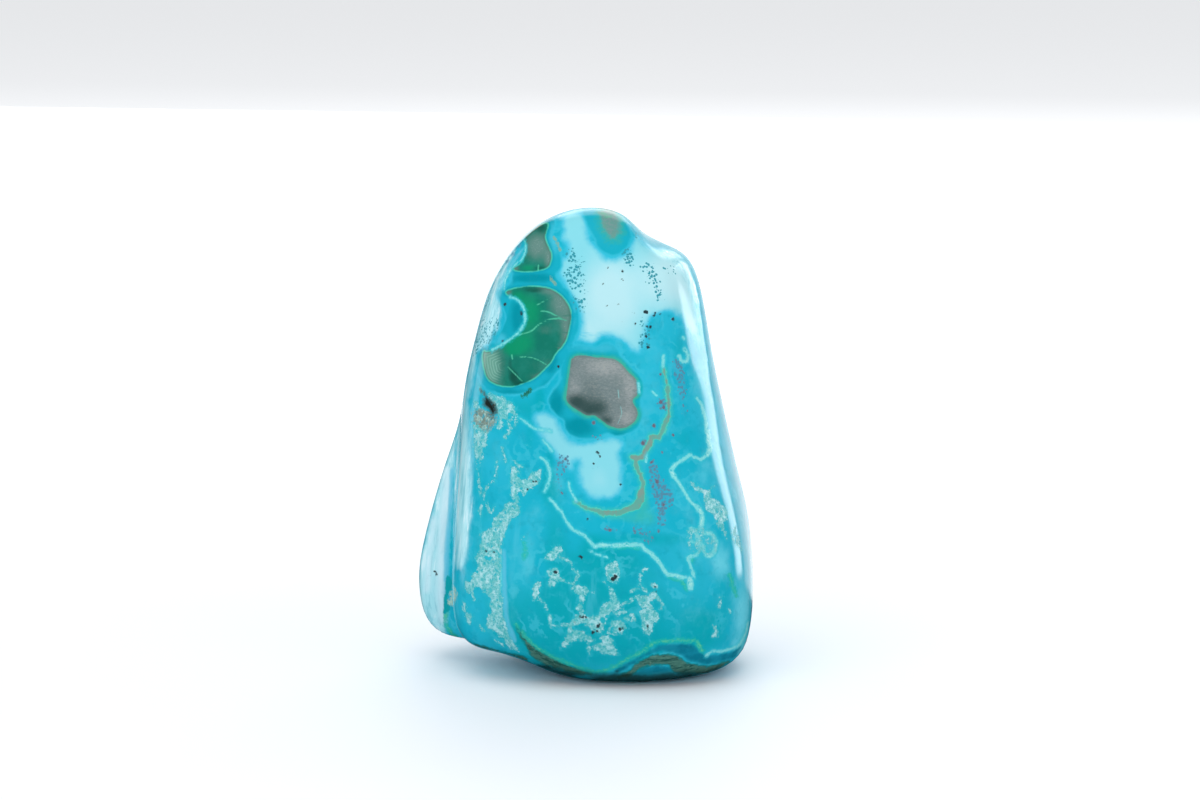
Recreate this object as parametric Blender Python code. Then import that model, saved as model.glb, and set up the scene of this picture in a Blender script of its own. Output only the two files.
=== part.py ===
"""A polished freeform of chrysocolla with malachite, standing on its ground base.

The stone is one piece. It is worked here in the order in which such a stone is made:
sawn to its front, side and plan outlines, ground on flats, rolled over along its edges,
and left with the hollows and pits that the polishing wheel can't reach.
X runs to the right, Y away from the viewer, Z up, and the origin is the middle of the base.
"""

import bmesh
import bpy
import numpy as np

MM = 0.001

# Driving dimensions in millimetres
HEIGHT = 70.0
WIDTH = 51.2
DEPTH = 37.5
BASE_LEVEL = 0.0

# The blank that is shaped: a cube of this many faces along each edge, stretched to the stone
FACES_ALONG_EDGE = 27
SEED_CENTRE = (0.0, 0.0, 30.0)
SEED_STRETCH = (25.0, 19.0, 36.0)

# Outlines in millimetres, each drawn as a closed smooth curve through its points.
# They run below the base, which is cut last.
CURVE_STEPS = 6
FRONT_OUTLINE = (
    (-7.4, 0.4), (-3.8, -6.0), (4.0, -11.0), (13.0, -9.0), (18.2, -3.0), (21.6, 0.3),
    (23.8, 2.9), (25.0, 6.6), (25.4, 11.0), (25.3, 16.0), (24.5, 23.4), (22.5, 31.4), (20.6, 39.8),
    (19.0, 47.5), (17.8, 55.0), (16.6, 59.8), (15.1, 62.4), (13.2, 63.4), (11.3, 64.0),
    (8.3, 66.0), (5.3, 68.9), (1.6, 70.1), (-2.6, 69.6), (-7.2, 67.5), (-11.2, 63.8),
    (-14.9, 57.7), (-17.4, 49.4), (-19.0, 42.0), (-19.7, 34.0), (-20.5, 24.0), (-21.2, 14.0),
    (-20.6, 7.4), (-18.0, 4.2), (-12.4, 2.5),
)
SIDE_OUTLINE = (
    (-11.0, -5.0), (-14.6, 0.4), (-17.6, 6.0), (-18.6, 14.0), (-17.4, 25.0), (-15.4, 36.0),
    (-13.2, 47.0), (-10.4, 58.0), (-7.0, 66.0), (-2.0, 71.4), (4.0, 71.4), (8.0, 67.0),
    (11.0, 61.0), (13.8, 52.0), (16.2, 40.0), (18.0, 27.0), (18.6, 15.0), (17.0, 6.0),
    (14.2, 0.0), (10.0, -7.0), (0.0, -12.0),
)
PLAN_OUTLINE = (
    (-9.0, -18.0), (0.0, -19.2), (9.0, -19.0), (18.0, -16.6), (25.4, -10.6), (29.4, 0.0),
    (28.0, 9.0), (20.0, 16.6), (8.0, 19.4), (-6.0, 18.6), (-17.0, 14.0), (-23.0, 6.0),
    (-24.0, -3.0), (-21.5, -10.0), (-16.5, -15.0),
)
# The back of the stone reaches further left than its front, and a crease parts the two.
BACK_OUTLINE = (
    (-18.7, 39.4), (-20.7, 35.0), (-23.0, 28.0), (-25.1, 20.0), (-26.2, 14.5), (-26.1, 9.6),
    (-25.0, 5.8), (-22.0, 3.4), (-17.0, 3.0), (-12.0, 1.8), (-6.0, -2.0), (2.0, -6.0), (12.0, -5.0),
    (18.0, 2.0), (20.0, 14.0), (15.0, 34.0), (6.0, 45.0), (-6.0, 47.0), (-14.8, 44.6),
)
BACK_STARTS_AT = 1.0
BACK_ROLL = 4.5
BACK_JOIN = 2.0
# Each roll is the width of the rounding where two outlines meet
OUTLINE_ROLL_SHARE = 0.85
OUTLINE_ROLL_MOST = 13.0
OUTLINE_ROLL_LEAST = 3.0
PLAN_ROLL = 6.0
BASE_ROLL = 2.8

# Ground flats: a point on each, in millimetres, and the direction that it faces
FLATS = {
    "left front": ((-15.2, -10.2, 45.0), (-0.80, -0.58, 0.16)),
    "right front": ((17.8, -9.6, 38.0), (0.80, -0.58, 0.16)),
    "back left": ((-11.4, 12.2, 45.0), (-0.55, 0.80, 0.22)),
    "back right": ((14.6, 12.4, 36.0), (0.66, 0.72, 0.20)),
    "back top": ((1.0, 9.4, 62.0), (0.10, 0.80, 0.60)),
}
FLAT_ROLL = 4.5

# Swellings joined to the body: centre, half sizes across, deep, down and up, and the width
# of the join, in millimetres
SWELLINGS = {
    "front bulge": ((5.4, -7.4, 15.0), (17.6, 12.0, 16.0, 24.0), 3.8),
    "right shoulder": ((9.4, 2.4, 56.0), (5.4, 5.8, 6.4, 6.4), 3.6),
}

# Hollows worn into the surface: a line of points, its half width and depth, in millimetres
HOLLOWS = {
    "left crease": (((-20.6, 2.4, 36.0), (-22.0, 1.4, 22.0), (-21.8, 1.0, 7.0)), 2.4, 0.4),
    "valley beside the bulge": (
        ((-5.0, -15.4, 34.0), (-11.4, -13.8, 24.0), (-13.0, -12.6, 9.0)), 3.6, 0.6,
    ),
    "valley under the shoulder": (((10.4, -4.0, 63.0), (15.4, -6.4, 57.0), (18.4, -7.4, 49.0)), 3.0, 0.5),
}

# Pits: centre, the line each runs along, half length, half width and depth, in millimetres
PITS = {
    "main pit": ((-14.6, -9.8, 40.6), (0.62, -0.40, -0.68), 1.9, 0.75, 1.25),
    "rough hollow": ((-15.2, -9.2, 38.4), (0.7, -0.5, -0.5), 1.8, 1.3, 0.55),
}
FINE_ZONE_CENTRE = (-14.8, -9.6, 39.8)
FINE_ZONE_RADIUS = 4.2
FINE_ROUNDS = 2

REACH = 60.0
MARCH_STEPS = 40
HALVINGS = 26


def curve_through(points, steps=CURVE_STEPS):
    """A closed Catmull-Rom curve through the points, as an array of corners."""
    p = np.array(points, float)
    before, after, beyond = np.roll(p, 1, 0), np.roll(p, -1, 0), np.roll(p, -2, 0)
    t = np.linspace(0, 1, steps, endpoint=False)[None, :, None]
    a, b, c, d = (q[:, None, :] for q in (before, p, after, beyond))
    curve = 0.5 * (
        2 * b + (c - a) * t + (2 * a - 5 * b + 4 * c - d) * t**2 + (3 * b - a - 3 * c + d) * t**3
    )
    return curve.reshape(-1, 2)


def outside_by(points, outline):
    """How far each 2D point lies outside a closed outline. Inside it is negative."""
    start, end = outline, np.roll(outline, -1, 0)
    along = end - start
    from_start = points[:, None, :] - start[None]
    share = (from_start * along).sum(2) / (along**2).sum(1)
    gap = from_start - along * np.clip(share, 0, 1)[..., None]
    nearest = np.sqrt((gap**2).sum(2)).min(1)
    above, below = start[:, 1] > points[:, None, 1], end[:, 1] > points[:, None, 1]
    side = from_start[..., 0] * along[:, 1] - from_start[..., 1] * along[:, 0]
    crossing = (above != below) & ((side < 0) == (along[:, 1] > 0))
    inside = crossing.sum(1) % 2 == 1
    return np.where(inside, -nearest, nearest)


def rolled_cut(a, b, roll):
    """What is inside both a and b, with the edge between them rolled over."""
    near = np.maximum(roll - np.abs(a - b), 0) / roll
    return np.maximum(a, b) + near**2 * roll / 4


def soft_join(a, b, width):
    """What is inside a or b, with a fillet of this width between them."""
    return -rolled_cut(-a, -b, width)


def outside_swelling(points, centre, half_sizes):
    across, deep, down, up = half_sizes
    offset = points - centre
    tall = np.where(offset[:, 2] > 0, up, down)
    spread = (offset[:, 0] / across) ** 2 + (offset[:, 1] / deep) ** 2 + (offset[:, 2] / tall) ** 2
    return (np.sqrt(spread) - 1) * min(half_sizes)


def distance_to_line(points, line):
    """Distance from each 3D point to a line of straight runs."""
    line = np.array(line, float)
    start, along = line[:-1], np.diff(line, axis=0)
    from_start = points[:, None, :] - start[None]
    share = np.clip((from_start * along).sum(2) / (along**2).sum(1), 0, 1)
    return np.sqrt(((from_start - along * share[..., None]) ** 2).sum(2)).min(1)


def hollow_depth(points, line, half_width, depth):
    return depth * np.exp(-((distance_to_line(points, line) / half_width) ** 2))


def pit_depth(points, centre, direction, half_length, half_width, depth):
    along = np.array(direction) / np.linalg.norm(direction)
    offset = points - np.array(centre)
    lengthways = offset @ along
    sideways = np.sqrt(np.maximum((offset**2).sum(1) - lengthways**2, 0))
    spread = (lengthways / half_length) ** 2 + (sideways / half_width) ** 2
    return depth * np.exp(-(spread**1.5))


FRONT_CURVE = curve_through(FRONT_OUTLINE)
SIDE_CURVE = curve_through(SIDE_OUTLINE)
PLAN_CURVE = curve_through(PLAN_OUTLINE)
BACK_CURVE = curve_through(BACK_OUTLINE)


def outline_roll(height):
    """The outlines' roll at each height: wide where the stone is thick, narrow at its top."""
    half_depth = DEPTH / 2 * np.sqrt(np.clip(1 - height / (HEIGHT + 1), 0, 1))
    return np.clip(half_depth * OUTLINE_ROLL_SHARE, OUTLINE_ROLL_LEAST, OUTLINE_ROLL_MOST)


def outside_stone(points):
    """How far each point lies outside the stone, in millimetres. Inside it is negative."""
    front = outside_by(points[:, [0, 2]], FRONT_CURVE)
    side = outside_by(points[:, [1, 2]], SIDE_CURVE)
    plan = outside_by(points[:, [0, 1]], PLAN_CURVE)
    roll = outline_roll(points[:, 2])
    body = rolled_cut(rolled_cut(front, side, roll), plan, PLAN_ROLL)
    back = rolled_cut(outside_by(points[:, [0, 2]], BACK_CURVE), side, roll)
    back = rolled_cut(back, BACK_STARTS_AT - points[:, 1], BACK_ROLL)
    body = soft_join(body, back, BACK_JOIN)
    for place, facing in FLATS.values():
        normal = np.array(facing) / np.linalg.norm(facing)
        body = rolled_cut(body, (points - place) @ normal, FLAT_ROLL)
    for centre, half_sizes, width in SWELLINGS.values():
        body = soft_join(body, outside_swelling(points, centre, half_sizes), width)
    for line, half_width, depth in HOLLOWS.values():
        body = body + hollow_depth(points, line, half_width, depth)
    for centre, direction, half_length, half_width, depth in PITS.values():
        body = body + pit_depth(points, centre, direction, half_length, half_width, depth)
    return rolled_cut(body, BASE_LEVEL - points[:, 2], BASE_ROLL)


def surface_along(directions):
    """Where rays from the seed's centre leave the stone."""
    centre = np.array(SEED_CENTRE)
    count = len(directions)
    low, high = np.zeros(count), np.full(count, REACH)
    found = np.zeros(count, bool)
    for reach in np.linspace(0, REACH, MARCH_STEPS)[1:]:
        left = outside_stone(centre + directions * reach) > 0
        high = np.where(left & ~found, reach, high)
        found |= left
        low = np.where(found, low, reach)
    for _ in range(HALVINGS):
        middle = (low + high) / 2
        left = outside_stone(centre + directions * middle[:, None]) > 0
        high = np.where(left, middle, high)
        low = np.where(left, low, middle)
    return centre + directions * ((low + high) / 2)[:, None]


def blank():
    """A cube cut into even squares and blown up to a ball, which the stone is shaped from."""
    mesh = bmesh.new()
    bmesh.ops.create_cube(mesh, size=2)
    bmesh.ops.subdivide_edges(mesh, edges=mesh.edges[:], cuts=FACES_ALONG_EDGE - 1, use_grid_fill=True)
    for vertex in mesh.verts:
        # The tangent keeps the squares nearly even once they are on the ball.
        vertex.co = [np.tan(value * np.pi / 4) for value in vertex.co]
        vertex.co = vertex.co.normalized()
    return mesh


def shape(mesh):
    """Moves every vertex of the ball along its own ray to the stone's surface."""
    rays = np.array([vertex.co[:] for vertex in mesh.verts]) * SEED_STRETCH
    rays /= np.linalg.norm(rays, axis=1)[:, None]
    for vertex, place in zip(mesh.verts, surface_along(rays)):
        vertex.co = place * MM


def refine_pits(mesh):
    """Cuts the faces round the pits finer, as balls' vertices, before the last shaping."""
    centre = np.array(FINE_ZONE_CENTRE) * MM
    for level in range(FINE_ROUNDS):
        radius = FINE_ZONE_RADIUS * MM * (1 - 0.3 * level)
        near = [
            face for face in mesh.faces
            if np.linalg.norm(np.array(face.calc_center_median()[:]) - centre) < radius
        ]
        edges = list({edge for face in near for edge in face.edges})
        bmesh.ops.subdivide_edges(mesh, edges=edges, cuts=1, use_grid_fill=True)


def back_to_ball(mesh):
    """Turns the shaped vertices back to rays, so that new ones can be shaped with them."""
    for vertex in mesh.verts:
        ray = (np.array(vertex.co[:]) / MM - SEED_CENTRE) / SEED_STRETCH
        vertex.co = ray / np.linalg.norm(ray)


def fit_to_size(mesh):
    """Brings the stone to its driving dimensions, with the middle of its base at the origin."""
    places = np.array([vertex.co[:] for vertex in mesh.verts])
    low, high = places.min(0), places.max(0)
    middle = (low + high) / 2
    origin = np.array([middle[0], middle[1], low[2]])
    scale = np.array([WIDTH, DEPTH, HEIGHT]) * MM / (high - low)
    for vertex, place in zip(mesh.verts, (places - origin) * scale):
        vertex.co = place


def polished_stone_material():
    material = bpy.data.materials.new("polished_chrysocolla")
    material.use_nodes = True
    surface = material.node_tree.nodes["Principled BSDF"]
    surface.inputs["Base Color"].default_value = (0.035, 0.46, 0.57, 1.0)
    surface.inputs["Roughness"].default_value = 0.12
    surface.inputs["Metallic"].default_value = 0.0
    return material


def clear_scene():
    for item in list(bpy.data.objects):
        bpy.data.objects.remove(item)


def build_stone():
    mesh = blank()
    shape(mesh)
    refine_pits(mesh)
    back_to_ball(mesh)
    shape(mesh)
    fit_to_size(mesh)
    bmesh.ops.triangulate(mesh, faces=[face for face in mesh.faces if len(face.verts) > 4])
    bmesh.ops.recalc_face_normals(mesh, faces=mesh.faces[:])
    data = bpy.data.meshes.new("chrysocolla_stone")
    mesh.to_mesh(data)
    mesh.free()
    data.shade_smooth()
    data.materials.append(polished_stone_material())
    stone = bpy.data.objects.new("chrysocolla_stone", data)
    bpy.context.scene.collection.objects.link(stone)
    return stone


clear_scene()
build_stone()
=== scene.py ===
# %% [markdown]
# # A polished chrysocolla freeform
#
# The real object is one stone: blue-green chrysocolla with patches of malachite, ground to a
# tapered block that stands by itself, and tumbled until its edges are round and it shines.
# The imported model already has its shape. This file gives it its surface, in this order:
# a camera, the outlines of each marking, a finer skin, one stone material, a floor and light.

import math

import bmesh
import bpy
import numpy as np
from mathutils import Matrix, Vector


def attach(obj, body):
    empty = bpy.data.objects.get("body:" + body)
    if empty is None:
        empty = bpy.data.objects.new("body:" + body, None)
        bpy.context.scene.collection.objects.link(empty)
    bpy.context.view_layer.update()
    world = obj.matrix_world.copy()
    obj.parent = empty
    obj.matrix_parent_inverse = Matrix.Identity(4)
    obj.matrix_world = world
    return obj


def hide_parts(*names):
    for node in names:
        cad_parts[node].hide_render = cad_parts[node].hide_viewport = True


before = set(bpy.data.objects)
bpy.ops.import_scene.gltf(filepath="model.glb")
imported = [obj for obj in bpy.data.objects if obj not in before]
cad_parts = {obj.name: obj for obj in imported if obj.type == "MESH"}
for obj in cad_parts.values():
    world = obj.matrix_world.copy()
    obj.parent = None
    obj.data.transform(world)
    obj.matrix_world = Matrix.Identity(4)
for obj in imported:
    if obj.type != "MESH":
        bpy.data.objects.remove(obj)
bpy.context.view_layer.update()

MM = 0.001

# %% [markdown]
# ## The camera
#
# The stone was photographed close, with a long lens, from a little above. A camera could be
# placed by eye, but here its numbers also tell where each point of the stone falls in the
# photograph, which is how the markings get their places. So they are worked out first.

# %% Camera
PHOTO_WIDTH, PHOTO_HEIGHT = 1200, 800
LENS_MM, SENSOR_MM = 100.0, 36.0
LOOKS_DOWN = math.radians(8)
AIM_MM = np.array([2.25, 0.0, 40.85])
MM_PER_PIXEL = 0.1506
PIXELS_PER_SLOPE = PHOTO_WIDTH * LENS_MM / SENSOR_MM
DISTANCE_MM = MM_PER_PIXEL * PIXELS_PER_SLOPE

ahead = np.array([0.0, math.cos(LOOKS_DOWN), -math.sin(LOOKS_DOWN)])
rightward = np.array([1.0, 0.0, 0.0])
upward = np.cross(rightward, ahead)
eye_mm = AIM_MM - ahead * DISTANCE_MM

camera = bpy.data.objects.new("camera", bpy.data.cameras.new("camera"))
camera.data.lens = LENS_MM
camera.data.sensor_width = SENSOR_MM
camera.data.clip_start = 0.01
camera.data.clip_end = 100
camera.location = Vector(eye_mm * MM)
camera.rotation_euler = (math.pi / 2 - LOOKS_DOWN, 0, 0)
bpy.context.scene.collection.objects.link(camera)
bpy.context.scene.camera = camera


def photo_pixels(points_mm):
    """Where points of the stone fall in the photograph, in pixels from its top left corner."""
    offset = points_mm - eye_mm
    depth = offset @ ahead
    across = PHOTO_WIDTH / 2 + offset @ rightward / depth * PIXELS_PER_SLOPE
    down = PHOTO_HEIGHT / 2 - offset @ upward / depth * PIXELS_PER_SLOPE
    return np.stack([across, down], axis=1)


print("camera stands", round(DISTANCE_MM), "mm away")

# %% [markdown]
# ## Where the markings are
#
# Chrysocolla fills old cracks and cavities layer by layer, so its markings have clear kinds:
# round malachite patches inside darker halos, milky pools, mineral veins that wander like
# coastlines, and rows of chalky crumbs along old cracks. Each is written down once, as an
# outline, a thread or a soft cloud, in pixels of the photograph. The back and the sides can't
# be seen in it, so they get markings of the same kinds, in millimetres across and up.

# %% Malachite patches
MALACHITE = {
    "crescent": (
        (505.4, 291.8), (513, 288.5), (523.6, 286.6), (535, 286), (546.5, 287.5), (554, 290),
        (561, 294.7), (566.6, 301.4), (570.4, 309), (571.4, 317.7), (570, 327), (567, 338.6),
        (563, 346), (556.6, 353), (551, 362.5), (542, 372), (533.7, 379), (523, 383.6),
        (513.6, 386.4), (503, 386.4), (493.5, 383.6), (486.8, 378), (484, 370), (482.5, 361.6),
        (482.3, 354), (484, 350.4), (487.7, 351.5), (498.3, 347.2), (509.7, 338.6), (519.3, 331),
        (525, 322.4), (526, 314.8), (523.6, 307), (518.8, 300.4), (514, 298.2), (508.3, 295.7),
    ),
    "upper patch": (
        (523.6, 237.3), (531.2, 230.6), (537, 225.8), (545.6, 223), (548.4, 225), (546.5, 232.5),
        (545.6, 238.3), (549.4, 247.8), (551.8, 253.6), (551.3, 261.2), (548.4, 267), (540.8, 270.3),
        (529.3, 271.8), (517.8, 271.3), (512, 268.4), (519.7, 264), (523.6, 257.4), (526, 249.7),
        (525.5, 243),
    ),
}
GREY_PATCH = (
    (571, 359.7), (575, 355.8), (584, 355), (596, 357), (601.5, 357), (614, 358.7),
    (621.6, 363.5), (628, 371), (636, 379), (638.8, 386.4), (637.8, 395), (633, 400.8),
    (637, 409), (637.8, 416), (634, 422.8), (626.4, 427.6), (617.7, 428.5), (609, 426),
    (601.5, 421), (594.8, 416), (587, 416), (579.6, 412), (571, 406.5), (566, 400),
    (567, 387), (569, 373),
)
TOP_SPOT = (
    (600, 207), (608, 203), (616, 208), (622, 218), (622, 229), (617, 238), (610, 239), (603, 231),
    (599, 218),
)
HALOS = {
    "round the grey patch": (
        (566, 354), (572, 346), (583, 344), (595, 347), (603, 342.5), (612, 343.5), (618, 349),
        (622, 357), (630, 366), (638, 374), (643, 383), (643.5, 391), (641, 398), (640, 408),
        (642.5, 417), (638.5, 427), (630, 432.5), (618, 436), (607, 433), (598, 438), (588, 439.5),
        (576, 438), (566, 430), (563, 420), (556, 415), (550, 408), (549, 398), (553, 390),
        (560, 380), (561, 366),
    ),
    "round the malachite": (
        (496, 292), (508, 284), (512, 276), (508, 268), (515, 258), (518, 244), (520, 234),
        (534, 222), (548, 217), (555, 222), (553, 234), (560, 250), (562, 266), (556, 276),
        (566, 288), (576, 302), (579, 318), (577, 334), (571, 350), (562, 366), (552, 378),
        (540, 388), (526, 393), (508, 395), (492, 392), (481, 384), (477, 370), (478, 352),
        (490, 344), (504, 332), (506, 318), (500, 304),
    ),
    "round the top spot": (
        (583, 206), (586, 222), (592.4, 236.4), (597, 246), (604, 252.6), (611.6, 255.5),
        (620, 253.6), (627.8, 246), (631.7, 238.3), (630.7, 228.7), (625, 219), (617, 208),
    ),
}
BLUE_BAY = (
    (511, 301), (518, 300.5), (525.5, 314.8), (521.7, 329), (508.3, 340.6), (494, 347.3),
    (498.7, 337.8), (506.4, 319.6), (510.2, 303.3),
)
print("patches", len(MALACHITE) + 2, "halos", len(HALOS))

# %% [markdown]
# Where silica fills the mineral it turns milky, and the pools have soft edges. They could be
# soft clouds alone, but the real pools have bays and pockets, so each has an outline, and only
# the change of tone inside a pool is a cloud.

# %% Milky pools, and pale flanks with painted sheen
MILK_POOLS = {
    "upper pool": (
        (564, 215), (562, 238), (567, 244), (566, 254), (559, 262), (560, 276), (566, 289),
        (571, 298), (577, 305), (580, 315), (581, 329), (577, 341), (584, 343), (595, 343),
        (600, 338), (613, 337), (622, 341), (632, 350), (640, 352), (645, 338), (648, 324),
        (656, 314), (668, 311), (680, 318), (690, 332), (698, 350), (702, 348), (699, 310),
        (694, 285), (688, 266), (676, 255), (660, 249), (645, 242), (636, 236), (628, 250),
        (612, 259), (599, 251), (590, 238), (583, 214),
    ),
    "lower pocket": (
        (580, 446), (578, 470), (580, 484), (586, 494), (596, 499), (610, 499), (619, 492),
        (623, 480), (622, 462), (619, 448), (610, 440), (598, 441), (587, 443),
    ),
    "left of the grey patch": (
        (534, 414), (545, 412), (556, 417), (561, 426), (566, 436), (576, 442), (590, 443),
        (604, 440), (616, 438), (624, 444), (618, 456), (600, 462), (577, 462), (571, 470),
        (560, 462), (552, 452), (543, 440), (536, 428),
    ),
}
# pale flanks: partly pale stone, partly painted sheen where the rounded edges mirror the bright room; the
# left edge strip is painted reflection
PALE_FLANKS_AND_SHEEN = {
    "set-back lobe": (
        (455, 430), (441, 470), (429, 520), (419, 560), (416, 595), (423, 622), (440, 637),
        (446, 630), (445, 600), (446, 560), (450, 510), (455, 460),
    ),
    "left edge": (
        (457, 400), (456, 440), (455, 480), (454, 520), (456, 566), (464, 566), (470, 540),
        (472, 500), (471, 450), (468, 400),
    ),
    "upper left": (
        (492, 282), (480, 306), (472, 336), (466, 372), (463, 400), (470, 396), (478, 360),
        (488, 346), (499, 326), (502, 306), (500, 292), (507, 272), (516, 252), (512, 248),
        (500, 266),
    ),
    "shoulder": (
        (664, 250), (678, 252), (688, 262), (694, 280), (698, 300), (694, 300), (684, 284),
        (674, 268), (662, 258),
    ),
}
# painted highlight streaks down the set-back lobe
HIGHLIGHT_BANDS = (
    (1.8, ((447, 470), (443, 520), (441, 560), (441, 596), (443, 620))),
    (0.8, ((434, 520), (429, 556), (427, 590))),
)
DEEP_HALOS = (
    (556, 405, 9, 14, 0.9), (578, 427, 18, 11, 0.9), (532, 278, 24, 6, 0.95), (518, 318, 8, 20, 0.9),
    (551, 362, 8, 12, 0.9), (548, 385, 9, 8, 0.6), (618, 434, 14, 5, 0.7), (512, 392, 30, 5, 0.6),
    (557, 218, 8, 10, 0.6),
)
LIT_HALOS = (
    (598, 348, 30, 6, 0.5), (555, 236, 6, 18, 0.8), (508, 272, 6, 12, 0.8), (500, 340, 8, 8, 0.7),
    (573, 312, 5, 24, 0.5), (516, 244, 6, 14, 0.8),
)
# a painted shade line in the crease beside the lobe, and a painted highlight along the bulge's left edge
SHADE_AND_HIGHLIGHT_BANDS = (
    (1.5, ((452, 470), (450, 510), (447, 550), (446, 580))),
    (2.0, ((503, 552), (504, 590), (507, 622), (514, 640))),
)
print("milky pools", len(MILK_POOLS), "pale flanks", len(PALE_FLANKS_AND_SHEEN))

# %% [markdown]
# The teal itself is deeper in some places and paler in others, with no edge between. A noise
# gives that too, but not in the right places, so a few soft ovals are listed.
# Some clouds are painted light: narrow deep ovals left of the middle are painted shade in a shallow
# valley, and pale ovals at the right edge and on the left strip are painted highlight.

# %% Soft clouds: middle, half width, half height and strength
MILK_BRIGHT = (
    (612, 300, 34, 44, 0.9), (672, 276, 34, 32, 0.95), (598, 478, 17, 18, 0.3), (692, 330, 8, 24, 0.6),
    (590, 330, 14, 12, 0.5),
)
# deep ovals: deeper teal, and painted shade in the shallow valley near 515 to 550 across, 400 to 490 down
DEEP_TONE_AND_SHADE_CLOUDS = (
    (600, 610, 70, 40, 0.75), (592, 550, 13, 13, 0.6), (556, 540, 12, 40, 0.5), (560, 600, 16, 30, 0.6),
    (560, 650, 40, 20, 0.6), (640, 640, 40, 24, 0.5), (515, 410, 22, 14, 0.5),
    (540, 400, 6, 24, 0.5), (620, 565, 30, 12, 0.35), (530, 430, 6, 30, 0.4),
    (548, 480, 8, 24, 0.5), (684, 440, 14, 14, 0.35), (484, 505, 10, 24, 0.25),
    (505, 620, 30, 30, 0.25), (725, 590, 12, 30, 0.3), (480, 560, 10, 24, 0.3),
    (640, 538, 60, 7, 0.4), (678, 350, 8, 14, 0.3), (596, 556, 50, 14, 0.5),
    (706, 626, 22, 24, 0.5), (548, 488, 12, 12, 0.4), (690, 640, 30, 8, 0.4), (550, 460, 5, 30, 0.3),
)
# pale ovals: paler teal, and painted highlight at the right edge and on the left strip
PALE_TONE_AND_HIGHLIGHT_CLOUDS = (
    (526, 560, 10, 28, 0.45), (513, 590, 5, 44, 0.25), (650, 345, 18, 20, 0.25),
    (558, 476, 8, 20, 0.3), (640, 440, 20, 20, 0.2), (648, 400, 14, 34, 0.25),
    (690, 500, 20, 40, 0.2), (704, 545, 18, 20, 0.45), (640, 470, 10, 20, 0.2),
    (721, 562, 9, 18, 0.8), (744, 620, 7, 40, 0.8), (741, 646, 8, 8, 0.9), (461, 470, 6, 60, 0.6),
    (700, 380, 10, 22, 0.5), (704, 470, 6, 16, 0.4),
    (535, 512, 12, 12, 0.3), (738, 610, 10, 40, 0.4), (715, 470, 8, 20, 0.3), (700, 610, 20, 20, 0.2),
    (500, 455, 8, 20, 0.2),
)
print("clouds", len(MILK_BRIGHT) + len(DEEP_TONE_AND_SHADE_CLOUDS) + len(PALE_TONE_AND_HIGHLIGHT_CLOUDS))

# %% [markdown]
# Late fluids ran along cracks and left mint, olive and yellow-green veins, some as thin as a
# hair. An outline round a vein would need twice the points, so a vein is a thread: a line
# through its middle with half a width.

# %% Mineral veins: half width in pixels, then the points that each thread runs through
MINT_VEINS = (
    (1.0, ((549.6, 499), (553.9, 502.7), (557.2, 507.5), (562, 512.3), (564.9, 519), (569.7, 525.7),
           (575.4, 531.4), (583, 534.3), (586.9, 538), (591.7, 543.8), (595, 546.5))),
    (1.7, ((595, 546.5), (602.2, 544.8), (612.7, 545.8), (624.2, 544.8), (635.7, 545), (641.4, 545.2),
           (644.3, 548.6), (652.9, 555.3), (659.6, 563), (664.4, 570.6), (668.2, 574.5))),
    (1.5, ((668.2, 574.5), (676, 575.5), (682, 577.5), (686, 577))),
    (2.6, ((690, 579), (690.5, 588))),
    (1.2, ((694, 577), (691.7, 568.7), (689, 562), (688, 557.2), (695.6, 555.3), (699.4, 550.5),
           (698.4, 544.8), (691, 541))),
    (2.4, ((691, 529), (695.6, 532), (698, 538), (700, 545))),
    (1.8, ((703.2, 533.3), (710.9, 534), (716, 542), (714.7, 550), (710, 556), (704.8, 553),
           (702.3, 545))),
    (0.6, ((543, 440), (548, 446), (552, 451))),
    (0.5, ((517, 416), (524, 421), (533, 428), (542, 430), (551, 431))),
    (0.9, ((540, 457), (545.7, 461.6), (549, 468.3), (549.6, 479.7), (544, 492))),
    (0.7, ((589.7, 550.5), (597.4, 554.4), (607, 557.2))),
    (1.2, ((697, 398), (701, 404.6), (703.8, 413.2), (705.7, 421.8), (707, 431.4))),
    (2.0, ((707, 431.4), (709, 441.5), (709.6, 449), (707.5, 455))),
    (1.3, ((707.5, 455), (701.3, 459), (694.6, 457.5), (689.8, 455.4), (682.2, 460), (674.5, 465.4))),
    (1.9, ((674.5, 465.4), (671.6, 470.2), (673.6, 476))),
    (1.2, ((673.6, 476), (679.3, 483.6), (685, 493), (690.8, 501.7), (697, 507))),
    (1.9, ((697, 507), (702, 514.2), (701.8, 521.8), (700.4, 529))),
    (1.0, ((663.7, 355.8), (662.9, 366))),
    (1.3, ((684.7, 349), (687.6, 354.9), (686.6, 361.5), (681.5, 361), (679, 356))),
    (0.6, ((652, 391), (657, 396))),
    (0.9, ((683.4, 337), (684.4, 339))),
    (0.6, ((568.7, 482.6), (570.6, 491.2), (576.4, 500.8))),
    (0.6, ((647.4, 453.4), (645.8, 462))),
    (0.8, ((706, 656), (712.3, 651.4), (721.8, 651.4), (731.4, 648.5), (738, 645.7), (742, 640.9),
           (746, 632), (748, 622))),
    (0.5, ((500.5, 552), (500.5, 590))),
    (0.3, ((523, 237), (525.5, 247), (522.5, 258), (512, 268), (506, 279), (504, 290))),
    (0.6, ((510, 297), (518.5, 300.5), (525, 313), (522, 328), (508.5, 340.5), (492, 350))),
    # the last thread is a painted highlight on the grey patch's right rim, not a vein
    (0.5, ((638.3, 383.6), (639.3, 392))),
)
OCHRE_STREAKS = (
    (1.2, ((554, 237), (557, 243), (560, 250))), (1.4, ((551, 277), (553, 281), (556, 284.5))),
)
MAUVE_SPOTS = ((519, 246, 1.6), (513, 254, 2.0), (507, 261, 2.0), (604, 213, 2.4), (503, 344, 1.6))
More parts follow.
